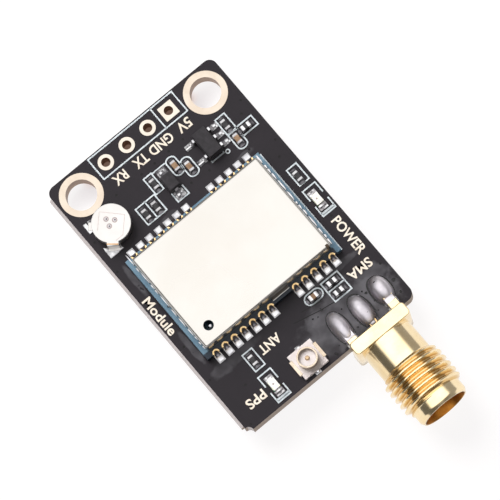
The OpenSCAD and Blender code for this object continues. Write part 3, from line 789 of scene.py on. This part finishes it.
# Chips are named by the axis they lie along
RESISTORS_Y = [
    (6.98, -3.65), (-1.70, -3.70), (-4.11, -5.47), (-2.93, -5.47), (8.98, -11.90), (-5.34, -22.70),
]
RESISTORS_X = [(8.34, -5.03), (4.98, -21.77), (4.92, -22.87)]
CAPACITORS_Y = [(7.00, -5.47), (0.89, -3.65), (1.87, -4.58)]
CAPACITORS_X = [(2.79, -21.75)]
CHIP_HALF = 0.5
CHIP_SLOPE = [
    (0.0, SEAT + 0.26, 0.27),
    (0.06, SEAT + 0.15, 0.29),
    (0.16, SEAT + 0.06, 0.31),
    (0.32, SEAT + 0.015, 0.31),
]
chip_solder = Shape()
for x, y in RESISTORS_Y + CAPACITORS_Y:
    chip_solder.fillet(x, y + CHIP_HALF, 0.0, CHIP_SLOPE)
    chip_solder.fillet(x, y - CHIP_HALF, HALF_TURN, CHIP_SLOPE)
for x, y in RESISTORS_X + CAPACITORS_X:
    chip_solder.fillet(x + CHIP_HALF, y, -QUARTER_TURN, CHIP_SLOPE)
    chip_solder.fillet(x - CHIP_HALF, y, QUARTER_TURN, CHIP_SLOPE)

# Ends of the chips along X: places, distance from the middle, height of the middle, size
WIDE_ENDS = [
    (CAPACITORS_X, 0.29, 0.27, (0.22, 0.54, 0.5)),
    (RESISTORS_X, 0.3, 0.19, (0.26, 0.48, 0.36)),
]
wide_ends = Shape()
for places, out, rise, size in WIDE_ENDS:
    for x, y in places:
        for side in (1, -1):
            wide_ends.soft_box((x + side * out, y, SEAT + rise), size, 0.03)
wide_ends.piece("chip_wide_ends", SOLDER_AND_HIGHLIGHT, "tin", 40)
chip_solder.piece("chip_solder", SHADED_SOLDER, "tin", 80)

# Dabs on the leads: X, shift along Y from the lead's row, height, size, softness. Those at height 0.66, on
# the regulator's upper lead bends, are painted highlights; the rest are solder
REGULATOR_RIGHT = [
    (5.5, 0.0, 0.66, (0.24, 0.34, 0.05), 0.02),
    (6.12, 0.03, 0.1, (0.36, 0.26, 0.18), 0.05),
    (6.3, -0.14, 0.05, (0.24, 0.24, 0.12), 0.05),
]
REGULATOR_LEFT = [
    (3.64, 0.0, 0.66, (0.24, 0.3, 0.05), 0.02),
    (2.96, -0.08, 0.08, (0.7, 0.2, 0.16), 0.05),
    (3.3, 0.06, 0.1, (0.2, 0.2, 0.16), 0.05),
]
DIODE_ENDS = [
    (-0.56, 0.0, 0.08, (0.3, 0.3, 0.18), 0.05),
    (-0.22, 0.08, 0.06, (0.26, 0.2, 0.14), 0.05),
]
REGULATOR_Y = -4.0
LEAD_PITCH = 0.95
LEAD_ROWS = [
    ((REGULATOR_Y - LEAD_PITCH, REGULATOR_Y, REGULATOR_Y + LEAD_PITCH), REGULATOR_RIGHT),
    ((REGULATOR_Y - LEAD_PITCH, REGULATOR_Y + LEAD_PITCH), REGULATOR_LEFT),
    ((-3.28, -5.98), DIODE_ENDS),
]
# Painted highlights on the regulator's upper lead bends, with the solder on the feet and on the socket's
# tabs
lead_solder_and_highlights = Shape()
for y, rx, ry, rise in ((-27.42, 0.24, 0.22, 0.24), (-24.52, 0.26, 0.2, 0.12)):
    lead_solder_and_highlights.blob(SOCKET_X, y, SEAT - 0.02, rx, ry, SEAT + rise, 2.2, 0.05, 6, 20)
for lead_rows, dabs in LEAD_ROWS:
    for y in lead_rows:
        for x, shift, rise, size, soft in dabs:
            lead_solder_and_highlights.soft_box((x, y + shift, SEAT + rise), size, soft)
lead_solder_and_highlights.piece("lead_solder_and_highlights", SOLDER_AND_HIGHLIGHT, "tin", 80)

# Joints on the jack's legs: place, half sizes, height, fullness of the plan
JACK_JOINTS = [
    (2.84, -25.68, 0.84, 1.78, 1.42, 2.3),
    (5.41, -25.72, 0.9, 1.78, 1.12, 2.2),
    (8.0, -25.33, 0.98, 1.46, 1.42, 2.3),
]
JOINT_SINK = 0.04
JOINT_FULL = 2.3
jack_solder = Shape()
for x, y, rx, ry, rise, square in JACK_JOINTS:
    jack_solder.blob(x, y, SEAT - JOINT_SINK, rx, ry, SEAT + rise, square, 0.03, 20, 48, JOINT_FULL)
jack_solder.soft_box((2.88, -26.8, SEAT + 0.97), (1.0, 0.9, 0.12), 0.05)
jack_solder.soft_box((7.97, -26.68, SEAT + 0.97), (0.98, 0.6, 0.12), 0.05)
jack_solder.blob(5.41, -27.25, SEAT - JOINT_SINK, 0.5, 0.44, SEAT + 0.7, 2.4, 0.08, 10, 32)
for x in (2.89, 7.99):
    jack_solder.blob(x, -26.2, JOINT_SINK, 0.8, 1.3, -1.2, 2.6, 0.03, 10, 32)
jack_solder.piece("jack_solder", JACK_SOLDER, "tin", 80)

pinholes = Shape()
for x, y, high, r in [(7.87, -24.6, 1.26, 0.17), (5.6, -26.3, 1.06, 0.1), (2.7, -26.5, 1.0, 0.08)]:
    pinholes.blob(x, y, SEAT + high - 0.2, r, r * 0.8, SEAT + high + 0.03, 2.0, 0.1, 5, 16, turn=0.4)
pinholes.piece("solder_pinholes", FLUX_AND_SHADE, "tin", 80)

# Specks of flux: place and radius; pools round the joints: place and half sizes
SPECKS = [
    (6.75, -24.6, 0.16), (6.9, -25.7, 0.1), (6.55, -24.25, 0.1), (9.5, -25.3, 0.2), (9.9, -25.28, 0.12),
    (4.1, -26.6, 0.1), (4.05, -24.3, 0.09), (0.95, -27.2, 0.12), (9.3, -26.6, 0.12), (6.6, -26.6, 0.08),
    (1.4, -23.3, 0.1), (2.6, -23.2, 0.12), (1.9, -23.45, 0.08), (7.95, -24.35, 0.12),
]
POOLS = [(2.86, -25.66, 1.0, 1.95), (5.42, -25.68, 1.06, 1.95), (7.98, -25.28, 1.16, 1.6)]
FLUX_LOW = BOARD_TOP - 0.01
flux_pools = Shape()
for x, y, r in SPECKS:
    flux_pools.blob(x, y, FLUX_LOW, r, r * 0.9, BOARD_TOP + 0.03, 2.0, 0.1, 5, 16)
for x, y, rx, ry in POOLS:
    flux_pools.blob(x, y, FLUX_LOW, rx, ry, BOARD_TOP + 0.07, 2.2, 0.03, 4, 40)
flux_pools.piece("flux_pools", FLUX_AND_SHADE, "mask", 80)


# Antenna jack with its helical thread


EDGE_Y = -27.7
FLANGE_W = 6.4
FLANGE_T = 1.4
FLANGE_H = 5.5
FLANGE_CORNER = 0.38
FLANGE_BEVEL = 0.12
FRONT_Y = EDGE_Y - FLANGE_T
LEG_X = 2.55
LEG_SIZE = (1.0, 3.4, 0.99)
LEG_SUNK = 0.4
LEG_RISE = 0.5
BARREL_R = 2.675
BARREL_L = 8.5
THREAD_R = 3.175
ROOT_R = 2.76
PITCH = 0.7056
THREAD_FROM = 3.0
THREAD_TO = 7.3
THREAD_FADE = 0.55
TOOTH_TOP = 1.35
TOOTH_SLOPE = 3.4
GROOVE_SHADE_FROM = ROOT_R + 0.26
GROOVE_SHADE_TO = ROOT_R + 0.02
TIP_L = 0.35
TIP_CUT = 0.22
TIP_Y = FRONT_Y - BARREL_L
MOUTH_R = 2.3
MOUTH_LIP = 0.04
MOUTH_DEPTH = 1.9
BORE_R = 2.05
ROUND_STEPS = 96
THREAD_STEPS = 110


def thread_radius(depth, turn):
    """Outer radius of the barrel at a depth in front of the flange."""
    if depth < THREAD_FROM or depth > THREAD_TO:
        tip = max(0.0, depth - (BARREL_L - TIP_L)) / TIP_L
        return BARREL_R - TIP_CUT * tip
    wave = (depth / PITCH - turn / (2 * math.pi)) % 1.0
    tooth = min(1.0, max(0.0, TOOTH_TOP - TOOTH_SLOPE * abs(wave - 0.5)))
    fade = min(1.0, (depth - THREAD_FROM) / THREAD_FADE, (THREAD_TO - depth) / THREAD_FADE)
    root = BARREL_R + (ROOT_R - BARREL_R) * fade
    return root + (THREAD_R - root) * tooth * fade


def jack_material():
    """Bright gold plate, with painted shade that turns it deeper in the grooves of the thread."""
    material, nodes = new_material("jack_gold", {"Metallic": 1.0})
    place = nodes.geometry()
    stir = nodes.ramp(nodes.noise(500, 4, place), *STIR)
    plate = nodes.mix(stir, linear(240, 216, 170), linear(248, 228, 188))
    spot = nodes.split(place)
    aside = nodes.math("SUBTRACT", spot["X"], JACK_X * MM)
    above = nodes.math("SUBTRACT", spot["Z"], JACK_Z * MM)
    squares = nodes.math("MULTIPLY_ADD", aside, aside, nodes.math("MULTIPLY", above, above))
    radius = nodes.math("SQRT", squares)
    # Painted shade: a deeper, darker gold towards the roots of the thread
    groove_shade = nodes.ramp(radius, GROOVE_SHADE_FROM * MM, GROOVE_SHADE_TO * MM)
    past = nodes.math("LESS_THAN", spot["Y"], (FRONT_Y - THREAD_FROM - 0.15) * MM)
    before = nodes.math("GREATER_THAN", spot["Y"], (FRONT_Y - THREAD_TO + 0.1) * MM)
    deep = nodes.math("MULTIPLY", groove_shade, nodes.math("MULTIPLY", past, before))
    nodes.wire("Base Color", nodes.mix(deep, plate, linear(222, 186, 128)))
    gloss = nodes.math("MULTIPLY_ADD", nodes.noise(185, 2, place), 0.08, 0.11)
    nodes.wire("Roughness", gloss)
    nodes.relief(nodes.noise(1500, 2, place), 0.03, 0.06)
    return material


def jack():
    """Threaded barrel, its front rim, the flange and the four legs."""
    shape = Shape()
    depths = [0.0, 0.05, 1.0, 2.0, THREAD_FROM - 0.02]
    for i in range(THREAD_STEPS + 1):
        depths.append(THREAD_FROM + (THREAD_TO - THREAD_FROM) * i / THREAD_STEPS)
    depths += [THREAD_TO + 0.02, 7.8, BARREL_L - 0.36, BARREL_L - 0.25, BARREL_L - 0.12, BARREL_L]
    rows = []
    for depth in reversed(depths):
        row = []
        for i in range(ROUND_STEPS):
            turn = 2 * math.pi * i / ROUND_STEPS
            r = thread_radius(depth, turn)
            row.append((JACK_X + r * math.sin(turn), FRONT_Y - depth, JACK_Z + r * math.cos(turn)))
        rows.append(row)
    shape.loft(rows, False)
    rim = [(TIP_Y, BARREL_R - TIP_CUT), (TIP_Y, MOUTH_R + MOUTH_LIP)]
    shape.lathe_y(JACK_X, JACK_Z, rim, ROUND_STEPS)
    middle = (JACK_X, EDGE_Y - FLANGE_T / 2, JACK_Z)
    shape.round_block(middle, (FLANGE_W, FLANGE_T, FLANGE_H), FLANGE_CORNER, FLANGE_BEVEL)
    leg_y = EDGE_Y - LEG_SUNK + LEG_SIZE[1] / 2
    for side in (-1, 1):
        for z in (SEAT + LEG_RISE, -LEG_RISE):
            shape.soft_box((JACK_X + side * LEG_X, leg_y, z), LEG_SIZE, 0.08)
    return shape


jack_piece = jack().piece("jack_body_visual", jack_material(), "gold", 38)
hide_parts("jack_body")

MOUTH_PROFILE = [
    (TIP_Y, MOUTH_R + MOUTH_LIP),
    (TIP_Y + 0.08, MOUTH_R),
    (TIP_Y + MOUTH_DEPTH, MOUTH_R),
    (TIP_Y + MOUTH_DEPTH, BORE_R),
]
mouth = Shape()
mouth.lathe_y(JACK_X, JACK_Z, MOUTH_PROFILE, ROUND_STEPS)
mouth.piece("jack_mouth_bore", SHADED_BORE_GOLD, "gold", 40)


# Shield can: folded sheet, solder, feet, vent and slit


CAN_X = -0.48
CAN_Y = -13.94
CAN_W = 15.1
CAN_L = 11.1
CAN_H = 1.6
CAN_FOLD = 0.3
CAN_CORNER = 0.32
FOLD_STEPS = 5
SHEET = 0.15
VENT = (-6.47, -17.955)
VENT_R = 0.5
VENT_STEPS = 32


def can():
    """Folded lid and walls as one skin, with the lid cut round the vent."""
    work = bmesh.new()
    rows = []
    levels = [(0.0, 0.0)]
    for i in range(FOLD_STEPS + 1):
        turn = math.pi / 2 * i / FOLD_STEPS
        levels.append((CAN_FOLD * (1 - math.cos(turn)), CAN_H - CAN_FOLD + CAN_FOLD * math.sin(turn)))
    for inset, height in levels:
        corner = max(0.08, CAN_CORNER - inset)
        outline = rounded_outline(CAN_W - 2 * inset, CAN_L - 2 * inset, corner)
        rows.append([work.verts.new((CAN_X + x, CAN_Y + y, MODULE_TOP + height)) for x, y in outline])
    for low, high in zip(rows, rows[1:]):
        for i in range(len(low)):
            j = (i + 1) % len(low)
            work.faces.new((low[i], low[j], high[j], high[i]))
    rim = rows[-1]
    hole = circle(VENT[0], VENT[1], VENT_R, VENT_STEPS)
    vent = [work.verts.new((x, y, MODULE_TOP + CAN_H)) for x, y in hole]
    edges = [work.edges.get(pair) for pair in zip(rim, rim[1:] + rim[:1])]
    edges += [work.edges.new(pair) for pair in zip(vent, vent[1:] + vent[:1])]
    bmesh.ops.triangle_fill(work, use_beauty=True, use_dissolve=False, edges=edges)
    deep = [work.verts.new((v.co.x, v.co.y, v.co.z - SHEET)) for v in vent]
    for i in range(VENT_STEPS):
        j = (i + 1) % VENT_STEPS
        work.faces.new((vent[i], vent[j], deep[j], deep[i]))
    bmesh.ops.recalc_face_normals(work, faces=work.faces[:])
    work.verts.index_update()
    shape = Shape()
    shape.add([tuple(v.co) for v in work.verts], [[v.index for v in f.verts] for f in work.faces])
    work.free()
    return shape


can_piece = can().piece("can_visual", CAN, "can", 50)
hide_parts("shield_can")

# Beads of solder along the short walls, of random length
BEADS_FROM = CAN_Y - CAN_L / 2 + 0.35
BEADS_TO = CAN_Y + CAN_L / 2 - 0.3
foot_solder = Shape()
for side, out, half in ((1, 0.19, 0.1), (-1, 0.04, 0.07)):
    y = BEADS_FROM
    lean = CAN_X + side * (CAN_W / 2 + out)
    while y < BEADS_TO:
        length = random.uniform(0.15, 0.75)
        top = MODULE_TOP + random.uniform(0.06, 0.12)
        sway = random.uniform(-0.03, 0.03)
        x = lean + sway
        foot_solder.blob(x, y + length, MODULE_TOP - 0.01, half, length, top, 2.2, 0.2, 6, 16, 4.0)
        y += 2 * length + random.uniform(0.0, 0.22)
foot_solder.piece("can_foot_solder", SOLDER_AND_HIGHLIGHT, "tin", 80)

# Painted shade: a black spot on the ledge where a notch in the can's short wall falls in shade
ledge_notch_shade = Shape()
ledge_notch_shade.disc(-8.1, -13.78, 0.13, MODULE_TOP, MODULE_TOP + 0.01, 16)
ledge_notch_shade.piece("ledge_notch_shade", FLUX_AND_SHADE, "module_blue")

FOOT_X = 0.62
FOOT_HALF = 0.95
FOOT_OUT = 0.25
FOOT_TIP = 0.08
FOOT_TOP = 0.46
# The feet are painted darker than the can as shade; a bar of the can's colour along each tip is a painted
# highlight
feet = Shape()
foot_highlights = Shape()
for side in (1, -1):
    wall = CAN_Y + side * (CAN_L / 2 - 0.02)
    tip = CAN_Y + side * (CAN_L / 2 + FOOT_OUT)
    section = [(wall, 0.0), (tip, 0.0), (tip, FOOT_TIP), (wall, FOOT_TOP)]
    ends = (FOOT_X - FOOT_HALF, FOOT_X + FOOT_HALF)
    points = [(x, y, MODULE_TOP + z) for x in ends for y, z in section]
    feet.add(points, [[0, 1, 2, 3], [7, 6, 5, 4], [0, 4, 5, 1], [1, 5, 6, 2], [2, 6, 7, 3]])
    foot_highlights.bar((ends[0], tip), (ends[1], tip), 0.05, MODULE_TOP + 0.01, MODULE_TOP + 0.1)
feet.piece("can_feet", CAN_FOOT_SHADED, "can")
foot_highlights.piece("can_foot_highlights", CAN, "can")

# A joint inside the can that glints through the vent; its top slopes
JOINT_AT = (VENT[0] + 0.17, VENT[1] + 0.2)
JOINT_R = 0.13
JOINT_RISE = 0.12
JOINT_LEAN = 0.24
joint_rows = []
for height, lean in ((0.0, 0.0), (JOINT_RISE, JOINT_LEAN)):
    loop = circle(0, 0, JOINT_R, 16)
    low = MODULE_TOP + height
    joint_rows.append([(JOINT_AT[0] + x, JOINT_AT[1] + y, low + lean * y) for x, y in loop])
inner_joint = Shape()
inner_joint.loft(joint_rows)
inner_joint.piece("inner_joint", SOLDER_AND_HIGHLIGHT, "tin")

# Painted shade: a dark block at the can's corner stands for the open slit
SLIT_AT = (CAN_X + CAN_W / 2 - 0.4, CAN_Y - CAN_L / 2 + 0.16, MODULE_TOP + CAN_H / 2 + 0.3)
slit = Shape()
slit.soft_box(SLIT_AT, (0.3, 0.36, 1.02), 0.02, 1)
slit.piece("can_corner_slit_shade", SLIT_SHADE, "can")


# Coin cell details


CELL_TOP = 3.04
WELDS = [(-7.31, -3.66), (-6.74, -4.25), (-7.50, -4.39)]
HALO_R = 0.26
WELD_R = 0.17
PIT_R = 0.07
PIT_SHIFT = 0.02
halos = Shape()
welds = Shape()
pits = Shape()
for x, y in WELDS:
    halos.disc(x, y, HALO_R, CELL_TOP, CELL_TOP + 0.004, 24)
    welds.disc(x, y, WELD_R, CELL_TOP, CELL_TOP + 0.008, 20)
    pits.disc(x + PIT_SHIFT, y - PIT_SHIFT, PIT_R, CELL_TOP, CELL_TOP + 0.012, 12)
halos.piece("weld_halos", PINK, "cell")
welds.piece("weld_dots", WELD, "cell")
pits.piece("weld_pits", GASKET, "cell")

seam = Shape()
PLATE_EDGE = [(-8.60, -3.99), (-7.36, -2.70), (-5.70, -4.46), (-7.05, -5.85), (-7.90, -5.86)]
seam.path(PLATE_EDGE, 0.05, CELL_TOP, CELL_TOP + 0.008)
seam.piece("strip_outline", SEAM, "cell")

STRIP_END = [(-9.27, -2.42), (-8.95, -2.42), (-8.95, -3.44), (-9.27, -3.44)]
cell_solder = Shape()
cell_solder.prism(STRIP_END, SEAT, SEAT + 0.06)
POOL = [(-9.2, -5.3), (-9.24, -6.5), (-7.66, -6.48)]
POOL_TOP = (-8.75, -6.05, SEAT + 0.09)
low = [(x, y, SEAT) for x, y in POOL]
cell_solder.add(low + [POOL_TOP], [[0, 1, 3], [1, 2, 3], [2, 0, 3]])
cell_solder.piece("cell_solder", POOL_SOLDER, "tin")

bend = Shape()
bend.bar((-8.72, -5.60), (-7.98, -6.23), 0.12, CELL_TOP - 0.04, CELL_TOP + 0.004)
bend.piece("strip_bend", BEND, "cell")

# Painted shadow: a dark strip on the land beside the cell's strip end
shade = Shape()
shade.prism([(-8.95, -2.3), (-8.78, -2.3), (-8.78, -3.5), (-8.95, -3.5)], SEAT, SEAT + 0.02)
shade.piece("cell_painted_shadow", FLUX_AND_SHADE, "mask")


# Lamp details


LAMPS = [(8.98, -14.85), (-5.29, -25.78)]
LENS_TOP = SEAT + 0.65
CAP_Y = 0.68
PUDDLE_X = 0.27
PUDDLE_Y = 0.97
LAND_END_Y = 1.03
marks = Shape()
dies = Shape()
lamp_caps = Shape()
lamp_solder = Shape()
for x, y in LAMPS:
    marks.soft_box((x - 0.36, y - 0.5, SEAT + 0.34), (0.09, 0.2, 0.3), 0.02, 1)
    marks.soft_box((x + 0.36, y - 0.44, SEAT + 0.3), (0.09, 0.1, 0.2), 0.02, 1)
    dies.disc(x - 0.04, y + 0.02, 0.09, LENS_TOP, LENS_TOP + 0.005, 16)
    for side in (1, -1):
        lamp_caps.soft_box((x, y + side * CAP_Y, SEAT + 0.19), (0.82, 0.26, 0.38), 0.03)
        for half in (1, -1):
            puddle = (x + half * PUDDLE_X, y + side * PUDDLE_Y, SEAT + 0.05)
            lamp_solder.soft_box(puddle, (0.34, 0.24, 0.14), 0.04)
        lamp_solder.soft_box((x, y + side * LAND_END_Y, SEAT + 0.03), (0.86, 0.12, 0.09), 0.03)
marks.piece("lamp_cathode_marks", GREEN, "lens")
dies.piece("lamp_dies", PINK, "lens")
lamp_caps.piece("lamp_terminal_caps", LAMP_TIN, "tin", 40)
lamp_solder.piece("lamp_solder", LAMP_TIN, "tin", 40)


# Coaxial socket: the floor inside its ring, and its corner feet


RING_INNER_R = 0.84
CORNER_OUT = 1.25
socket_floor = Shape()
socket_floor.disc(SOCKET_X, SOCKET_Y, RING_INNER_R, SEAT + 0.38, SEAT + 0.86, 36)
socket_floor.piece("socket_floor", CREAM, "socket_plastic")

corners = Shape()
for sx, sy in ((1, 1), (-1, -1), (1, -1), (-1, 1)):
    foot = (SOCKET_X + sx * CORNER_OUT, SOCKET_Y + sy * CORNER_OUT, SEAT + 0.14)
    corners.soft_box(foot, (0.3, 0.28, 0.28), 0.06)
corners.piece("socket_corner_feet", CREAM, "socket_plastic", 40)


# Floor, light and camera. The part rests on the back edge of the board and the start of the thread
BACK_EDGE_Y = 2.4
THREAD_LOW = JACK_Z - THREAD_R
REST_TILT = math.atan2(-THREAD_LOW, BACK_EDGE_Y - (FRONT_Y - THREAD_FROM))
FLOOR_REACH = 3.0
FLOOR_DROP = 0.06
FLOOR_GLOW = 0.9
HEADER_PAINTED_SHADOW = 0.76
HOLES_PAINTED_SHADOW = 0.15


def floor():
    """Pale, evenly glowing floor on which the part leans on its thread, with painted shadow, brown under
    the header, where the holes look through to it.
    """
    mesh = bpy.data.meshes.new("floor")
    corners_xy = rectangle(-FLOOR_REACH, -FLOOR_REACH, FLOOR_REACH, FLOOR_REACH)
    mesh.from_pydata([(x, y, 0) for x, y in corners_xy], [], [[0, 1, 2, 3]])
    piece = bpy.data.objects.new("floor", mesh)
    bpy.context.scene.collection.objects.link(piece)
    lean = Matrix.Rotation(REST_TILT, 4, "X")
    piece.matrix_world = Matrix.Translation((0, BACK_EDGE_Y * MM, -FLOOR_DROP * MM)) @ lean
    fixed = {"Roughness": 0.9, "Specular IOR Level": 0.0}
    material, nodes = new_material("floor_white", fixed)
    place = nodes.geometry()
    tone = nodes.mix(nodes.noise(30, 2, place), linear(106, 106, 106), linear(110, 110, 110))
    nodes.wire("Base Color", tone)
    # Painted shadow: less glow, with a brown tint under the header holes and a pink one under the mounting
    # holes
    header_shadow_zone = zone(nodes, place, (0.1, 0.95), (5.6, 1.3), 0.0)
    holes_shadow_zone = zone(nodes, place, (0.0, 0.0), (7.8, 1.7), 0.0)
    deep = nodes.math("MULTIPLY", header_shadow_zone, HEADER_PAINTED_SHADOW)
    faint = nodes.math("MULTIPLY", holes_shadow_zone, HOLES_PAINTED_SHADOW)
    shaded = nodes.math("MAXIMUM", deep, faint)
    nodes.wire("Emission Strength", nodes.math("SUBTRACT", FLOOR_GLOW, shaded))
    glow = nodes.mix(holes_shadow_zone, (1.0, 0.985, 0.985, 1), (1.0, 0.955, 0.965, 1))
    glow = nodes.mix(header_shadow_zone, glow, (1.0, 0.62, 0.47, 1))
    nodes.wire("Emission Color", glow)
    mesh.materials.append(material)


CEILING = 1.9
SOFT_LIGHT = 0.15
SIDE_LIFT = 0.13
BELOW = [(0.0, (0.47, 0.46, 0.45, 1)), (0.49, (0.45, 0.43, 0.41, 1))]
ABOVE = [(0.515, 0.072), (0.80, 0.08), (0.87, 0.92), (0.93, 1.0), (1.0, 1.0)]


def background(nodes, colour, strength):
    node = nodes.add("ShaderNodeBackground")
    nodes.feed(node.inputs["Color"], colour)
    node.inputs["Strength"].default_value = strength
    return node.outputs[0]


def choose(nodes, fac, otherwise, chosen):
    node = nodes.add("ShaderNodeMixShader")
    for socket, source in zip(node.inputs, (fac, otherwise, chosen)):
        nodes.link(source, socket)
    return node.outputs[0]


def world():
    """White to the camera, soft light to dull parts.

    Glossy parts see a bright ceiling, a dark band above the horizon and a pale floor.
    """
    scene_world = bpy.data.worlds.new("studio")
    bpy.context.scene.world = scene_world
    scene_world.use_nodes = True
    scene_world.node_tree.nodes.clear()
    nodes = Nodes(scene_world.node_tree)
    path = nodes.add("ShaderNodeLightPath").outputs
    away = nodes.split(nodes.add("ShaderNodeTexCoord").outputs["Generated"])
    bands = nodes.add("ShaderNodeValToRGB")
    nodes.link(nodes.math("MULTIPLY_ADD", away["Z"], 0.5, 0.5), bands.inputs[0])
    stops = bands.color_ramp.elements
    for stop, (position, colour) in zip(stops, BELOW):
        stop.position = position
        stop.color = colour
    for position, tone in ABOVE:
        stops.new(position).color = (tone, tone, tone, 1)
    lift = nodes.math("MULTIPLY", nodes.ramp(away["X"], 0.1, 0.9), SIDE_LIFT)
    glow = nodes.mix(lift, bands.outputs["Color"], (1.0, 0.98, 0.96, 1))
    soft = background(nodes, (1.0, 0.99, 0.98, 1), SOFT_LIGHT)
    mirror = background(nodes, glow, CEILING)
    white = background(nodes, (1, 1, 1, 1), 1.0)
    lit = choose(nodes, path["Is Glossy Ray"], soft, mirror)
    shown = choose(nodes, path["Is Camera Ray"], lit, white)
    nodes.link(shown, nodes.add("ShaderNodeOutputWorld").inputs["Surface"])


def lamp(name, place, target, size, power):
    data = bpy.data.lights.new(name, "AREA")
    data.shape = "DISK"
    data.size = size
    data.energy = power
    lamp_object = bpy.data.objects.new(name, data)
    bpy.context.scene.collection.objects.link(lamp_object)
    aim = Vector(target) - Vector(place)
    lamp_object.matrix_world = Matrix.Translation(place) @ aim.to_track_quat("-Z", "Y").to_matrix().to_4x4()
    lamp_object.visible_glossy = False


floor()
world()
CENTRE = (0.001, -0.016, 0.002)
lamp("key", (-0.03, 0.36, 0.42), CENTRE, 0.45, 4.6)
lamp("side", (-0.5, -0.06, 0.22), CENTRE, 0.08, 0.4)

BACK_X = -0.0626
BACK_Y = -0.2270
ROLL = 0.7065
FOCAL_PX = 5824.0
PICTURE_PX = 500.0
DISTANCE = 0.54233
TARGET = Vector((1.1375, -14.397, BOARD_TOP)) * MM


def camera():
    back = Vector((BACK_X, BACK_Y, math.sqrt(1 - BACK_X**2 - BACK_Y**2)))
    level = Vector((0, 1, 0)) - back * back.y
    level.normalize()
    side = level.cross(back)
    up = level * math.cos(ROLL) + side * math.sin(ROLL)
    right = up.cross(back)
    place = TARGET + back * DISTANCE
    data = bpy.data.cameras.new("camera")
    data.sensor_width = 36.0
    data.lens = FOCAL_PX / PICTURE_PX * data.sensor_width
    data.clip_start = 0.01
    data.clip_end = 10.0
    data.dof.use_dof = False
    viewer = bpy.data.objects.new("camera", data)
    bpy.context.scene.collection.objects.link(viewer)
    axes = Matrix((right, up, back)).transposed()
    viewer.matrix_world = Matrix.Translation(place) @ axes.to_4x4()
    bpy.context.scene.camera = viewer


camera()
bpy.context.scene.view_settings.view_transform = "Standard"
